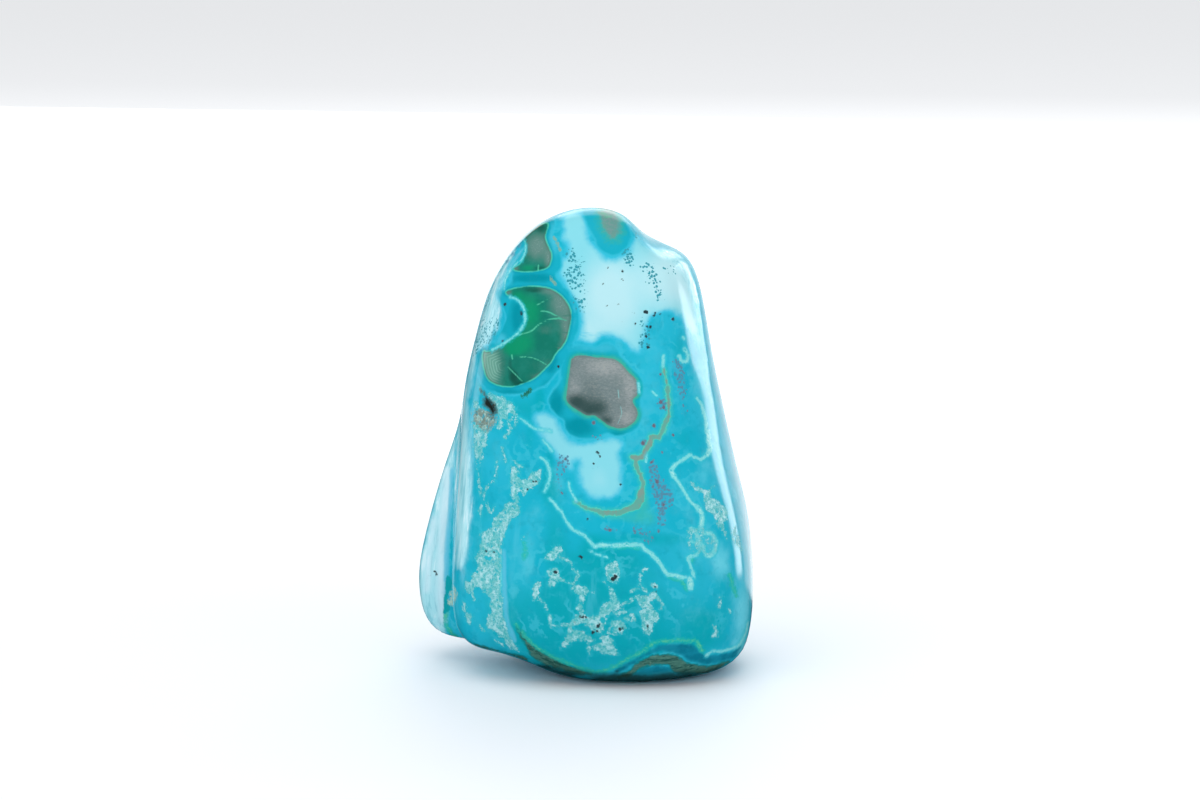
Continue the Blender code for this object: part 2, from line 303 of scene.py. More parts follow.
MALACHITE_VEINS = (
    (0.5, ((540.8, 311), (548.4, 311.9), (556, 315.8), (565.7, 320), (570.4, 319.6))),
    (0.5, ((518.8, 334.9), (531.2, 331), (538.9, 324.4), (548.4, 319.6), (558, 318.6), (565.7, 320))),
    (0.3, ((520, 357), (529, 357), (538, 360), (547, 365))),
    (0.4, ((537, 305), (546, 300), (552, 296))),
    (0.5, ((511.8, 355), (512.4, 359))),
    (0.3, ((508, 367), (515, 374), (522, 381))),
    (0.5, ((538.4, 265), (537.9, 279.4))),
    (0.3, ((620.6, 406.5), (621.6, 414), (617.7, 423.8))),
    (0.3, ((618, 390), (619, 398))),
)
OLIVE_VEIN = (
    (0.8, ((663.7, 368.3), (665.6, 377.8), (667.5, 387.4))),
    (1.4, ((667.5, 387.4), (668, 397), (669, 406.5), (668.5, 416))),
    (1.9, ((668.5, 416), (664.5, 425.7), (661, 433.3), (657.5, 437))),
    (2.6, ((658, 437.5), (652.5, 437), (650.5, 441), (648, 447), (645, 453))),
    (2.4, ((632.5, 457.6), (638, 458), (644, 456.5))),
    (1.6, ((636, 459), (636.5, 466), (640, 475), (643, 484), (641, 491))),
    (3.4, ((641, 492), (640.5, 499), (637, 505))),
    (2.6, ((637, 506), (626, 509.5), (617, 512.5), (607, 513), (598, 511.5))),
    (1.3, ((598, 511.5), (588, 508.5), (580, 504.5), (576, 501))),
)
OLIVE_FADE = (
    (642, 502, 9, 14, 0.7), (622, 517, 22, 7, 0.55), (648, 520, 14, 10, 0.35), (634, 461, 6, 5, 0.4),
    (636, 470, 5, 6, 0.35),
)
YELLOW_LINE = (
    (0.8, ((516, 624), (520, 630), (526, 637), (535.7, 646.6), (546.3, 653.3), (557.7, 659),
           (570, 663.8), (577.8, 666.7), (585.5, 669.6), (597, 671.5), (606.5, 670), (614.2, 666.7))),
    (1.1, ((614.2, 666.7), (621, 662.9), (625.7, 660), (633.3, 656.2), (642.9, 651.4), (652.4, 643.8),
           (659.7, 641), (670.2, 641), (679.7, 640), (687.4, 641), (695, 640))),
    (1.5, ((697, 641.5), (699, 645), (702.5, 651))),
    (0.9, ((446, 612), (445.4, 621), (450.2, 631.3), (457.8, 639))),
    (0.8, ((729.5, 575), (731.4, 580), (733.3, 588.3), (736.5, 596))),
    (1.2, ((524.5, 543), (524.8, 551), (524.5, 558))),
    (0.8, ((669, 577.5), (676, 579.5), (682, 580.5), (687, 590))),
    (0.9, ((604, 547.3), (624, 547.6), (640, 547.6))),
    (1.0, ((692, 559), (692.5, 562))),
)
OLIVE_BANDS = {
    "brown wedge": (
        (516.6, 626), (521.4, 631), (527, 639), (533.4, 646), (543.9, 653.5), (555, 659.5),
        (566, 665), (580, 670), (592, 673), (578, 673), (562, 669), (548.7, 665.5), (540, 661),
        (533.4, 656.2), (529.6, 651.4), (525.7, 643.8), (520, 635),
    ),
    "bottom band": (
        (618, 677), (629.5, 671), (638, 663), (652, 656.4), (664, 655), (676, 656.4), (683.6, 661),
        (687.4, 664), (697, 665), (706.5, 667), (716, 665), (728.5, 661.5), (717, 669.5),
        (706.5, 673), (690, 672), (676, 672.5), (671.6, 667.7), (667.8, 664), (654.4, 664),
        (643, 666.8), (633, 673.4), (626, 677),
    ),
    "left foot": (
        (450, 631), (458, 638.5), (468, 643), (487, 648), (502, 652.6), (524, 657), (524, 661),
        (500, 656), (480, 650), (462, 644),
    ),
}
BOTTOM_BLUE = (
    ((616, 671), (626, 664), (640, 657), (652, 650), (662, 645), (680, 644), (694, 646), (703, 654),
     (714, 655), (730, 652), (741, 646), (733, 657), (722, 661), (708, 664), (690, 661), (682, 655),
     (664, 651.5), (650, 654), (638, 660), (626, 669)),
    ((634.8, 674), (640, 669.5), (649, 666), (667, 666), (672, 670), (666, 672.5), (650, 673)),
)
# painted shade on the underside, darkest where it meets the floor
UNDERSIDE_SHADE = (
    (655, 681, 34, 8, 0.98), (612, 679, 30, 6, 0.9), (690, 678, 30, 7, 0.95), (560, 675, 34, 6, 0.8),
    (540, 668, 26, 5, 0.8), (514, 661, 18, 4, 0.5), (722, 673, 18, 7, 0.8), (617, 671, 3, 2, 0.6),
    (480, 652, 20, 4, 0.5),
)
print("threads", len(MINT_VEINS + MALACHITE_VEINS + OLIVE_VEIN + YELLOW_LINE))

# %% [markdown]
# Softer, chalky chrysocolla lies along old cracks as a lace of pale crumbs, with teal holes and
# small dark pits. The outlines only say where the lace is and how dense. Its strands come from
# a noise in the material, because drawing each one would be endless.

# %% Chalky crumbs along old cracks: how dense, then the outline
CHALK_PATCHES = (
    (1.0, ((487, 395), (491, 393.5), (500, 396), (508, 399), (513, 404), (515, 412), (510, 414),
           (507, 418), (503, 424), (501, 430), (497, 428), (499, 420), (497, 411), (492, 402))),
    (0.9, ((473.5, 399), (478, 402), (481, 408), (479, 413), (474, 410))),
    (0.9, ((477, 384), (480, 385), (486, 397), (482, 396))),
    (0.8, ((507, 428), (511, 430), (510, 436), (505, 439), (504, 433))),
    (1.0, ((474, 421), (480, 424), (488, 430), (487, 440), (486, 446), (483, 452), (482, 460),
           (475, 458), (473.5, 440))),
    (0.6, ((474, 458), (483, 458), (481, 470), (477, 474), (474, 466))),
    (0.5, ((516, 436), (522, 438), (531, 445), (530, 449), (521, 444))),
    (1.0, ((510, 471), (514, 465), (518, 470), (521, 478), (526, 479), (530, 474), (537, 470.5),
           (542, 470), (540, 480), (538, 485), (532, 488), (528, 492), (523, 497), (521, 490),
           (518, 493), (519, 501), (512, 499), (510.5, 486))),
    (0.9, ((513, 459), (517, 462), (524, 466), (521, 470), (516, 467))),
    (1.0, ((513, 499), (519, 498), (518.5, 507), (513.5, 507))),
    (1.1, ((508, 503), (513, 502), (519, 507), (519, 514), (511, 519), (508, 524), (505, 532),
           (502, 540), (501, 548), (500.5, 562), (500, 574), (492, 574), (482, 576), (475, 578),
           (472, 575), (478, 567), (476, 558), (479, 552), (480, 545), (482, 540), (481, 534),
           (487, 530), (493, 527), (492, 522), (497, 516), (503, 510))),
    (1.1, ((474, 576), (484, 574), (496, 572), (500, 582), (500, 594), (494, 597), (487, 595),
           (482, 589), (476, 586), (471, 592), (467, 591), (465, 582), (470, 582))),
    (1.1, ((493, 599), (499, 594), (502, 600), (503, 611), (505, 622), (508, 631), (507, 638),
           (500, 637), (497, 632), (492, 629), (487, 627), (488, 617), (492, 611), (490, 604))),
    (1.0, ((506, 631), (512, 640), (519, 651), (513, 650), (505, 643))),
    (0.9, ((462.5, 599), (467, 606), (466, 611), (472, 613), (473, 619), (468, 625), (465, 616),
           (462, 608))),
    (1.0, ((545, 559), (552, 548), (561, 546), (561, 553), (554, 560))),
    (1.0, ((546, 573), (551, 569), (557.5, 568), (560, 574), (559, 580), (553, 587), (547.5, 585),
           (550, 579))),
    (1.0, ((537, 580.5), (542.5, 585.5), (540.5, 589), (536, 600.5), (532.5, 597), (532.5, 588))),
    (1.0, ((570.5, 589), (579.5, 584.5), (589, 591), (584, 599), (581, 608), (575.5, 609),
           (579.5, 598))),
    (1.0, ((550.5, 627), (561, 623.5), (570, 622), (572, 620.5), (581.5, 608.5), (585.5, 616.5),
           (597, 614.5), (602.5, 605), (608.5, 600), (609.5, 590), (602.5, 581), (612, 588),
           (617, 596), (621, 604.5), (616.5, 611.5), (610.5, 611.5), (607, 617.5), (606, 623),
           (601, 633), (591, 630), (583, 623), (574, 626), (562, 627))),
    (1.0, ((569.5, 624), (574, 629), (583.5, 631), (596, 642.5), (588, 641.5), (576, 641),
           (568, 646), (559.5, 650), (566, 636))),
    (1.0, ((600.5, 636.5), (609.5, 635.5), (615, 646.5), (619, 654), (609.5, 656), (597, 651),
           (592, 645), (602, 643.5))),
    (1.0, ((614, 620), (626.5, 623.5), (622, 633), (615, 635), (607.5, 633), (610, 626))),
    (1.0, ((605.5, 566), (616, 561.5), (620, 572), (616.5, 583.5), (607.5, 579))),
    (1.0, ((615, 611.5), (626, 610), (626, 613), (616, 614.5))),
    (1.0, ((617, 616.5), (627, 617), (634, 622.5), (627, 620.5))),
    (1.0, ((639.5, 577), (643, 585), (648.5, 591), (645, 592.5), (639, 584))),
    (1.0, ((650.5, 583.5), (657.5, 584.5), (657, 589), (652, 587))),
    (1.0, ((635.5, 595.5), (645, 595.5), (654.5, 591.5), (659, 598), (653, 601), (654, 608),
           (646.5, 610), (640, 606))),
    (1.0, ((639.5, 613), (645, 608.5), (659, 613), (658, 621), (653, 625), (651, 635.5),
           (642, 631), (642, 621))),
    (1.0, ((690, 482), (695.6, 484), (702.5, 488), (708.5, 491), (712, 497), (718, 500.5),
           (725, 507.5), (728, 512), (727, 519), (724, 524), (726, 532.5), (727, 539), (721, 530),
           (716, 522), (715, 516.5), (708, 511.5), (704, 502), (702.5, 493.5), (696, 491))),
    (0.75, ((730, 533), (734.8, 524.5), (739.5, 535), (743.5, 548), (742, 553.5), (734, 545.5),
            (730.5, 540))),
    (1.0, ((713.5, 624.5), (718, 631), (717, 636.5), (712, 638), (713.5, 631))),
    (0.6, ((686, 528), (702, 526), (718, 536), (718, 552), (708, 558), (698, 558), (687, 548))),
    (0.5, ((519, 536), (528, 534), (531, 548), (528, 562), (521, 560))),
)
CHALK_THREADS = (
    (0.9, ((557.7, 555.7), (567.3, 560.5), (572, 565.3), (573.5, 570), (578.8, 574), (576.9, 578.7),
           (572, 583.5), (563.5, 580.6), (558.7, 578.7))),
    (0.7, ((539.6, 599.7), (544.4, 602.6), (546.7, 609.5))),
    (1.1, ((549.6, 616), (550.6, 624.6), (554, 625))),
    (0.6, ((588.4, 641), (589.3, 653.5))),
    (1.1, ((619, 606.4), (627, 602), (634.3, 597.8))),
    (0.9, ((628, 617), (632, 615), (634, 620))),
    (0.9, ((645.8, 569), (641, 573), (640, 577))),
    (0.8, ((658.2, 597.8), (663, 605.5), (660, 608.6))),
    (1.0, ((631.4, 591.5), (638, 587.3))),
    (0.8, ((591, 592), (593.5, 592.5))),
    (0.7, ((510.7, 420.9), (513.6, 415.1), (516, 417), (514.5, 424.7), (511.7, 427.6), (508.8, 425.7),
           (508.8, 420))),
    (0.6, ((478.4, 473), (479.8, 483.6), (480.3, 495))),
    (0.6, ((497.5, 462.5), (496, 472), (493.2, 479.7), (487.5, 486.4), (483.7, 496), (486.5, 505.6),
           (491.3, 512.3), (495, 506.5))),
    (0.5, ((501.8, 447), (506.6, 462.5))),
    (0.9, ((504.7, 437.7), (509.5, 432))),
    (0.8, ((481, 506), (480.5, 514))),
    (0.6, ((479.8, 625.6), (484.6, 630.4))),
    (0.5, ((496, 641), (503.8, 645.7))),
    (0.5, ((472.2, 592), (473.6, 600))),
    (0.8, ((720.9, 596.9), (719, 607.4))),
    (0.8, ((729.5, 609), (730, 612))),
    (0.5, ((709, 491), (711, 488), (713, 486))),
)
CHALK_HOLES = (
    (486, 557.5, 2.6), (489.5, 558.5, 2.2), (496, 529.5, 2.2), (728, 516.5, 2.4), (519, 476, 2.4),
    (521, 488, 1.6), (574.5, 627, 1.8), (611.5, 632, 2.0), (611.5, 629, 1.6), (652, 603, 2.4),
    (603, 620, 3.2), (607, 617, 2.4), (580.5, 603, 1.6), (594, 619.5, 1.2), (503, 625, 1.0),
    (588, 637, 1.0), (606, 645, 1.4), (600, 641, 1.8), (648, 615, 1.2), (476.5, 571.5, 2.0),
    (503, 420, 2.0), (504, 429, 2.6), (493.5, 620, 0.9),
)
PIT_HOLE = (
    (480.5, 390), (484.5, 396.5), (484, 405), (488.7, 408.4), (492.5, 414.5), (497, 410.4),
    (493, 402), (488, 398.5), (484, 392.5),
)
PIT_BROWN = (
    (474.3, 411.5), (483.9, 409), (492.5, 414), (497.5, 418), (492, 426), (487, 431), (479, 426),
    (473.4, 420.9),
)
CREAM_CRUMB = (
    (447.3, 594), (451.5, 592), (453.5, 585.5), (457.2, 595), (455.4, 599.5), (452, 606.5),
    (447.8, 602), (450.2, 597),
)
TEAL_WEDGE = (
    (446.4, 576.5), (451.3, 579.7), (453, 588.3), (449, 592), (448, 599.7), (450.6, 607.4),
    (446, 613.5), (443, 612), (444.5, 597.8),
)
PIT_SPOTS = (
    (555.4, 572, 1.6), (579, 555.8, 0.9), (580.5, 556.6, 0.9), (582, 557.6, 0.9), (613.3, 578.8, 2.0),
    (615.4, 576.6, 1.6), (580.5, 616.6, 1.1), (583, 616.9, 1.1), (585.5, 617.2, 0.9),
    (598, 626, 1.5), (599.5, 624, 1.0), (593.5, 632, 1.3), (597, 631.5, 1.2), (592.5, 633, 0.9),
    (620, 629.2, 1.5), (622.5, 628.4, 1.2), (647.7, 625.5, 0.7), (647.9, 628, 0.7), (655, 586.4, 0.9),
    (656.3, 591.6, 0.7), (533, 481.5, 0.8), (536, 481.5, 0.8), (527.5, 489.5, 0.7), (486, 551, 0.9),
    (493.7, 552, 0.9), (558.6, 366.5, 1.1), (606.8, 346.8, 1.2), (597, 452, 1.0), (599, 453.3, 0.8),
    (593.5, 463.5, 0.8), (600, 456.5, 0.7), (620.2, 484.7, 0.9), (587.8, 519.4, 0.9),
    (607.7, 268, 0.8), (603, 283.7, 0.8), (622.5, 271.7, 1.0), (622, 280, 1.0), (605.8, 304.5, 0.9),
    (606.6, 306, 0.7), (618.3, 304.3, 0.9), (633.6, 312.9, 1.1), (621.6, 321.5, 0.9),
    (635.5, 323.4, 0.9), (645, 311.6, 1.3), (647, 312.6, 0.9), (653.7, 315.8, 1.2), (655, 313.6, 0.8),
    (660, 314, 0.7), (672.8, 319, 1.3), (647, 326.3, 0.9), (650.8, 326.8, 1.1), (646, 336, 1.2),
    (648, 347.3, 1.3), (521.2, 312, 0.9), (521.4, 314, 0.8), (505, 304.3, 1.2), (435, 571.5, 0.9),
    (436.6, 575, 0.9), (429.5, 575.5, 0.6), (503, 341, 0.8),
)
OLD_CAVITY = ((521, 395), (524, 393), (530, 389), (532.5, 390.5), (528, 394.5), (524, 396.3))
SPECKLED = (
    (0.9, ((567, 252), (575, 250), (580, 262), (584, 280), (585, 298), (582, 312), (578, 308),
           (574, 296), (568, 282), (568, 266))),
    (0.85, ((622, 252), (630, 249), (634, 260), (632, 268), (626, 264))),
    (0.8, ((639, 266), (652, 264), (658, 274), (660, 286), (663, 300), (657, 300), (652, 286),
           (644, 284), (648, 274))),
    (0.35, ((662, 264), (674, 266), (676, 274), (664, 272))),
    (0.5, ((634, 233), (640, 234), (640, 240), (635, 239))),
    (0.55, ((642, 318), (652, 322), (652, 334), (648, 348), (640, 344), (640, 330))),
    (0.5, ((471, 330), (484, 318), (500, 320), (496, 334), (484, 350), (472, 356))),
    (0.4, ((475, 300), (486, 284), (490, 300), (478, 320))),
)
RUSTY = (
    (0.8, ((673, 359), (682, 364), (686, 378), (686, 394), (683, 402), (679, 398), (677, 384),
           (673, 374))),
    (0.8, ((658, 400), (664, 400), (666, 410), (660, 408))),
    (1.0, ((650, 462), (656, 462), (660, 476), (668, 486), (674, 494), (672, 504), (666, 510),
           (666, 522), (658, 524), (658, 508), (652, 492), (649, 474))),
    (0.8, ((602, 527), (616, 528), (617, 532), (604, 531))),
    (0.55, ((632, 526), (648, 530), (656, 540), (648, 545), (638, 536))),
    (0.6, ((557, 456), (568, 456), (569, 468), (562, 474), (560, 490), (557, 484))),
    (0.5, ((680, 404), (688, 406), (686, 416), (681, 414))),
    (0.4, ((592, 436), (604, 436), (604, 444), (594, 444))),
)
RED_SPOTS = (
    (654, 425.7, 1.7), (643, 443, 2.4), (644.8, 441, 1.3), (660.8, 374.4, 1.3), (661, 402, 1.7),
    (663.5, 407.5, 1.6), (651.8, 462.5, 1.5), (656.8, 481.5, 1.9), (653, 486.5, 1.2), (673.2, 435, 1.2),
    (662.2, 452, 1.2), (664, 504.6, 1.1), (663.6, 509, 1.1), (610, 530.4, 1.6), (635, 532, 1.3),
    (658.4, 531, 1.2), (652.6, 537.5, 1.1), (565, 459.5, 1.1), (561.8, 493, 1.0), (594, 422.5, 1.8),
)
print("chalk patches", len(CHALK_PATCHES), "pits", len(PIT_SPOTS))

# %% [markdown]
# Malachite is banded and changes from bright to blackish green, and the grey where its polish
# mirrors the room is painted reflection. The places of these tones are soft ovals again.

# %% Painted grey reflection, and darkened places inside the patches
# soft ovals of painted grey reflection on the malachite
REFLECTION_GREY = (
    (488, 366, 17, 30, 0.8), (562, 303, 13, 18, 0.97), (567, 330, 6, 18, 0.95), (550, 290, 14, 5, 0.7),
    (537, 246, 13, 15, 0.95), (549, 258, 5, 10, 0.95), (562, 350, 4, 8, 0.7), (542, 377, 12, 4, 0.6),
    (507, 293, 5, 5, 0.8), (514, 268.5, 5, 3, 0.8), (546, 330, 10, 6, 0.4), (545, 365, 20, 10, 0.3),
)
BANDED = ((490, 366, 14, 28, 0.95), (545, 360, 16, 16, 0.35))
LIT_GREEN = (
    (530, 312, 13, 18, 0.7), (520, 344, 16, 12, 0.75), (512, 347, 8, 7, 0.7), (518, 297, 8, 8, 0.6),
    (528, 268, 9, 4, 0.5),
)
DARKENED = (
    (514, 377, 6, 9, 0.97), (520, 384, 6, 4, 0.95), (540, 268, 10, 3, 0.7), (541, 228, 9, 7, 0.75),
    (535, 290, 16, 4, 0.75), (510, 364, 3, 12, 0.6), (545, 352, 10, 14, 0.3), (532, 378, 10, 5, 0.5),
)
# painted reflection on the grey patch: light grey ovals, then darker ones, most of them low on the left
PATCH_REFLECTION_LIGHT = ((606, 366, 24, 12, 0.8), (630, 388, 9, 22, 0.7), (574, 390, 9, 12, 0.5), (628, 418, 9, 8, 0.7))
PATCH_REFLECTION_DARK = (
    (576, 402, 11, 9, 0.95), (588, 409, 12, 9, 0.95), (600, 408, 12, 10, 0.75), (606, 421, 8, 5, 0.8),
    (592, 388, 14, 18, 0.3), (572, 364, 4, 8, 0.3),
)
print("tones inside the patches", len(REFLECTION_GREY) + len(LIT_GREEN) + len(DARKENED))

# %% [markdown]
# The photograph doesn't show the back, so its markings are made up: the same kinds, fewer of
# them, and placed as a cut through such a stone would show them.

# %% Markings on the back: across (from the middle to the right as seen from behind) and up, in mm
BACK_MALACHITE = (
    ((-11, 44), (-9, 50), (-5, 54), (1, 55), (5, 52), (6.5, 47), (5, 42), (1, 39.5), (-2, 41),
     (-3.5, 45), (-6, 46.5), (-8, 43), (-10, 41.5)),
    ((9, 10), (11, 15), (15, 17.5), (19, 15.5), (19.5, 11), (17, 8), (14, 9.5), (12, 7.5)),
)
BACK_GREY_PATCH = ((-1, 24), (3, 26.5), (7, 25), (8.5, 21.5), (6, 18.5), (2, 19), (0.5, 21))
BACK_HALOS = (
    ((-13, 43), (-11, 51), (-6, 56), (1, 57), (7, 54), (9, 47), (7, 40), (1, 37), (-5, 38.5),
     (-10, 38.5)),
    ((6.5, 10), (9, 16.5), (15, 20), (21, 17), (22, 11), (18, 5.5), (12, 5.5)),
    ((-3, 24), (2, 29), (8, 28), (11, 22), (7, 16), (1, 16.5), (-2, 20)),
)
BACK_MILK = (
    ((4, 59), (10, 57), (14, 50), (15, 42), (17, 34), (15, 29), (9, 30), (7, 34), (10, 40),
     (11, 47), (8, 54)),
    ((-17, 38), (-13, 36), (-8, 36), (-3, 35), (0, 33), (-4, 30), (-10, 30), (-15, 32)),
    ((-12, 18), (-7, 21), (-3, 19), (-3, 14), (-6, 10), (-11, 12)),
)
BACK_MILK_BRIGHT = ((12, 44, 6, 14, 0.9), (-8, 33, 8, 4, 0.6), (-7, 16, 4, 4, 0.5))
BACK_MINT = (
    (0.2, ((-22, 27), (-16, 26), (-11, 28), (-5, 27.5), (-1, 29), (5, 31), (10, 27), (14, 27),
           (19, 24), (24, 25))),
    (0.15, ((-12, 24), (-13, 20), (-11, 15), (-12, 10), (-9, 6), (-10, 2))),
    (0.2, ((13, 58), (15, 50), (18, 43), (17, 36), (19, 30), (18, 25))),
)
BACK_OLIVE = (
    (0.25, ((-22, 6), (-15, 5), (-9, 7), (-3, 4), (3, 3), (9, 2.5))),
    (0.25, ((-10, 24), (-14, 27), (-16, 31), (-19, 35), (-18, 41), (-16, 46))),
)
BACK_CHALK = (
    (1.0, ((-19, 22), (-16.5, 24), (-15, 21), (-16, 18), (-14.5, 15), (-16, 12), (-18, 9), (-20, 11),
           (-19, 15), (-20.5, 18))),
    (1.0, ((-5, 5), (-2, 8), (2, 7), (4, 10), (7, 9), (6, 6), (9, 4), (4, 3), (0, 4.5))),
    (1.0, ((12, 36), (14, 38), (16, 35), (15.5, 31), (17, 28), (14.5, 27), (13, 31), (11.5, 33))),
)
BACK_SPECKLED = ((0.8, ((9, 55), (12, 52), (13, 44), (11, 42), (10, 48))),)
BACK_RUSTY = (
    (0.8, ((-16, 44), (-14, 47), (-13, 52), (-15, 53), (-17, 48))),
    (0.7, ((10, 22), (13, 24), (15, 21), (12, 19))),
)
# painted grey reflection on the back patches
BACK_REFLECTION_GREY = ((4, 50, 4, 6, 0.9), (-10, 45, 3, 5, 0.8), (18, 13, 3, 4, 0.8))
BACK_LIT_GREEN = ((-4, 50, 5, 4, 0.8), (13, 13, 4, 3, 0.7))
BACK_DEEP = ((6, 40, 12, 5, 0.5), (2, 12, 10, 6, 0.6), (-18, 26, 6, 6, 0.5), (0, 62, 10, 5, 0.4))
BACK_PALE = ((18, 20, 5, 8, 0.5), (-18, 40, 5, 8, 0.5), (-2, 8, 6, 3, 0.3))

print("markings on the back", len(BACK_MALACHITE) + len(BACK_MILK) + len(BACK_MINT))

# %% [markdown]
# ## A smooth copy of the stone
#
# The wheel left the stone round all over, and its gloss shows every facet that the packed
# solid still has. A remesh would round it too, but it blurs the pits. Subdivision Surface
# keeps them, so one copy is rounded a little, to become the skin, and one a lot, to guide it.

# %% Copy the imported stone's mesh
bpy.ops.object.select_all(action="DESELECT")
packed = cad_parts["chrysocolla_stone"]
JOIN_POINTS_WITHIN = 1e-6


def copy_of_packed(name):
    """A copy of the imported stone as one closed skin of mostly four-sided faces."""
    mesh = packed.data.copy()
    mesh.materials.clear()
    work = bmesh.new()
    work.from_mesh(mesh)
    bmesh.ops.remove_doubles(work, verts=work.verts[:], dist=JOIN_POINTS_WITHIN)
    bmesh.ops.join_triangles(
        work, faces=work.faces[:], angle_face_threshold=0.6, angle_shape_threshold=0.9
    )
    work.to_mesh(mesh)
    work.free()
    copy = bpy.data.objects.new(name, mesh)
    bpy.context.scene.collection.objects.link(copy)
    return copy


def smooth_and_apply(piece, levels):
    """Rounds a piece with Subdivision Surface and applies it."""
    modifier = piece.modifiers.new("rounding", "SUBSURF")
    modifier.levels = modifier.render_levels = levels
    bpy.ops.object.select_all(action="DESELECT")
    bpy.context.view_layer.objects.active = piece
    piece.select_set(True)
    bpy.ops.object.modifier_apply(modifier=modifier.name)


stone = copy_of_packed("polished_stone")
smooth_form = copy_of_packed("smooth_form")
smooth_and_apply(stone, 1)
smooth_and_apply(smooth_form, 3)
print("skin faces", len(stone.data.polygons), "smooth form faces", len(smooth_form.data.polygons))

# %% [markdown]
# Each marking's edge is a line through a few points. A smooth curve is run through them, and
# each point of the skin gets its distance to that curve. The same distances first tell where
# the skin needs its finest faces: along the edges of the markings.

# %% Distances to outlines and threads
CURVE_STEPS = 4
MARGIN = 40  # places further than this from a curve, in the drawing's units, aren't measured
FAR_MM = 6.0
DEEPEST_MM = -2.5
FRONT_MM_PER_PIXEL = 0.147
CRUMBLE_MM = 0.9
SOLID_CRUMB_MM = -0.35
PATCH_EDGE_MM = 0.5


def curve_through(points, closed=True, steps=CURVE_STEPS):
    """A smooth curve through the points, as a row of close corners."""
    p = np.array(points, float)
    if not closed:
        p = np.vstack([2 * p[0] - p[1], p, 2 * p[-1] - p[-2]])
    a, b, c, d = np.roll(p, 1, 0), p, np.roll(p, -1, 0), np.roll(p, -2, 0)
    if not closed:
        a, b, c, d = p[:-3], p[1:-2], p[2:-1], p[3:]
    t = np.linspace(0, 1, steps, endpoint=False)[None, :, None]
    a, b, c, d = (q[:, None, :] for q in (a, b, c, d))
    curve = 0.5 * (
        2 * b + (c - a) * t + (2 * a - 5 * b + 4 * c - d) * t**2 + (3 * b - a - 3 * c + d) * t**3
    )
    curve = curve.reshape(-1, 2)
    return curve if closed else np.vstack([curve, p[-2]])


def distance_to_curve(places, curve, closed=True):
    """Distance of each place to a curve, and inside a closed one it is negative."""
    near = curve.min(0) - MARGIN, curve.max(0) + MARGIN
    close = ((places > near[0]) & (places < near[1])).all(1)
    result = np.full(len(places), 1e3)
    if not close.any():
        return result
    start, end = (curve, np.roll(curve, -1, 0)) if closed else (curve[:-1], curve[1:])
    along = end - start
    q = places[close]
    nearest = np.full(len(q), 1e6)
    inside = np.zeros(len(q), bool)
    for first, last, run in zip(start, end, along):
        gap = q - first
        share = np.clip(gap @ run / max(run @ run, 1e-9), 0, 1)
        nearest = np.minimum(nearest, ((gap - share[:, None] * run) ** 2).sum(1))
        if closed and first[1] != last[1]:
            crossing = (first[1] > q[:, 1]) != (last[1] > q[:, 1])
            at = first[0] + (q[:, 1] - first[1]) * run[0] / run[1]
            inside ^= crossing & (q[:, 0] < at)
    nearest = np.sqrt(nearest)
    result[close] = np.where(inside, -nearest, nearest)
    return result


class View:
    """Where the skin's points fall on a drawing, the drawing's scale and how well each is seen."""

    def __init__(self, places, mm_per_unit, seen):
        self.places, self.mm_per_unit, self.seen = places, mm_per_unit, seen

    def inside(self, outlines):
        """Distance in mm to the nearest of these outlines. Inside one it is negative."""
        nearest = np.full(len(self.places), FAR_MM)
        for outline in outlines:
            away = distance_to_curve(self.places, curve_through(outline)) * self.mm_per_unit
            nearest = np.minimum(nearest, away)
        return np.maximum(nearest, DEEPEST_MM) + (1 - self.seen) * FAR_MM

    def threads(self, threads):
        """Distance in mm to the edge of the nearest of these threads."""
        nearest = np.full(len(self.places), FAR_MM)
        for half_width, points in threads:
            away = distance_to_curve(self.places, curve_through(points, closed=False), closed=False)
            nearest = np.minimum(nearest, (away - half_width) * self.mm_per_unit)
        return nearest + (1 - self.seen) * FAR_MM

    def spots(self, spots):
        """Distance in mm to the edge of the nearest of these round spots."""
        nearest = np.full(len(self.places), FAR_MM)
        for across, down, radius in spots:
            away = np.hypot(self.places[:, 0] - across, self.places[:, 1] - down) - radius
            nearest = np.minimum(nearest, away * self.mm_per_unit)
        return nearest + (1 - self.seen) * FAR_MM

    def clouds(self, clouds):
        """The strength of soft clouds, from 0 to 1."""
        clear = np.ones(len(self.places))
        for across, down, half_width, half_height, strength in clouds:
            spread = ((self.places[:, 0] - across) / half_width) ** 2
            spread += ((self.places[:, 1] - down) / half_height) ** 2
            clear *= 1 - strength * np.exp(-spread)
        return (1 - clear) * self.seen

    def crumbly(self, patches):
        """Distance in mm to the nearest crumbly patch. A thin one, of low density, starts further in."""
        nearest = np.full(len(self.places), FAR_MM)
        for density, outline in patches:
            away = distance_to_curve(self.places, curve_through(outline)) * self.mm_per_unit
            away = np.maximum(away, SOLID_CRUMB_MM) + (1 - density) * CRUMBLE_MM
            nearest = np.minimum(nearest, away)
        return nearest + (1 - self.seen) * FAR_MM

    def patches(self, patches):
        """How dense these patches are at each point: each has a density and an outline."""
        dense = np.zeros(len(self.places))
        for density, outline in patches:
            away = distance_to_curve(self.places, curve_through(outline)) * self.mm_per_unit
            dense = np.maximum(dense, density * step(-away, -PATCH_EDGE_MM, PATCH_EDGE_MM))
        return dense * self.seen


def step(value, start, end):
    """0 up to start, 1 from end, and a smooth rise between."""
    share = np.clip((value - start) / (end - start), 0, 1)
    return share * share * (3 - 2 * share)


# %% [markdown]
# ## Finer faces where the markings are
#
# The markings are stored on the skin's points and coloured by the material. An image could do
# that too, but values on points stay sharp from any distance, need no image file and follow
# the shape. Points have to be close where the markings are fine, so the skin is smoothed once
# all over, its front is cut finer, and the new points are drawn onto the smooth form.

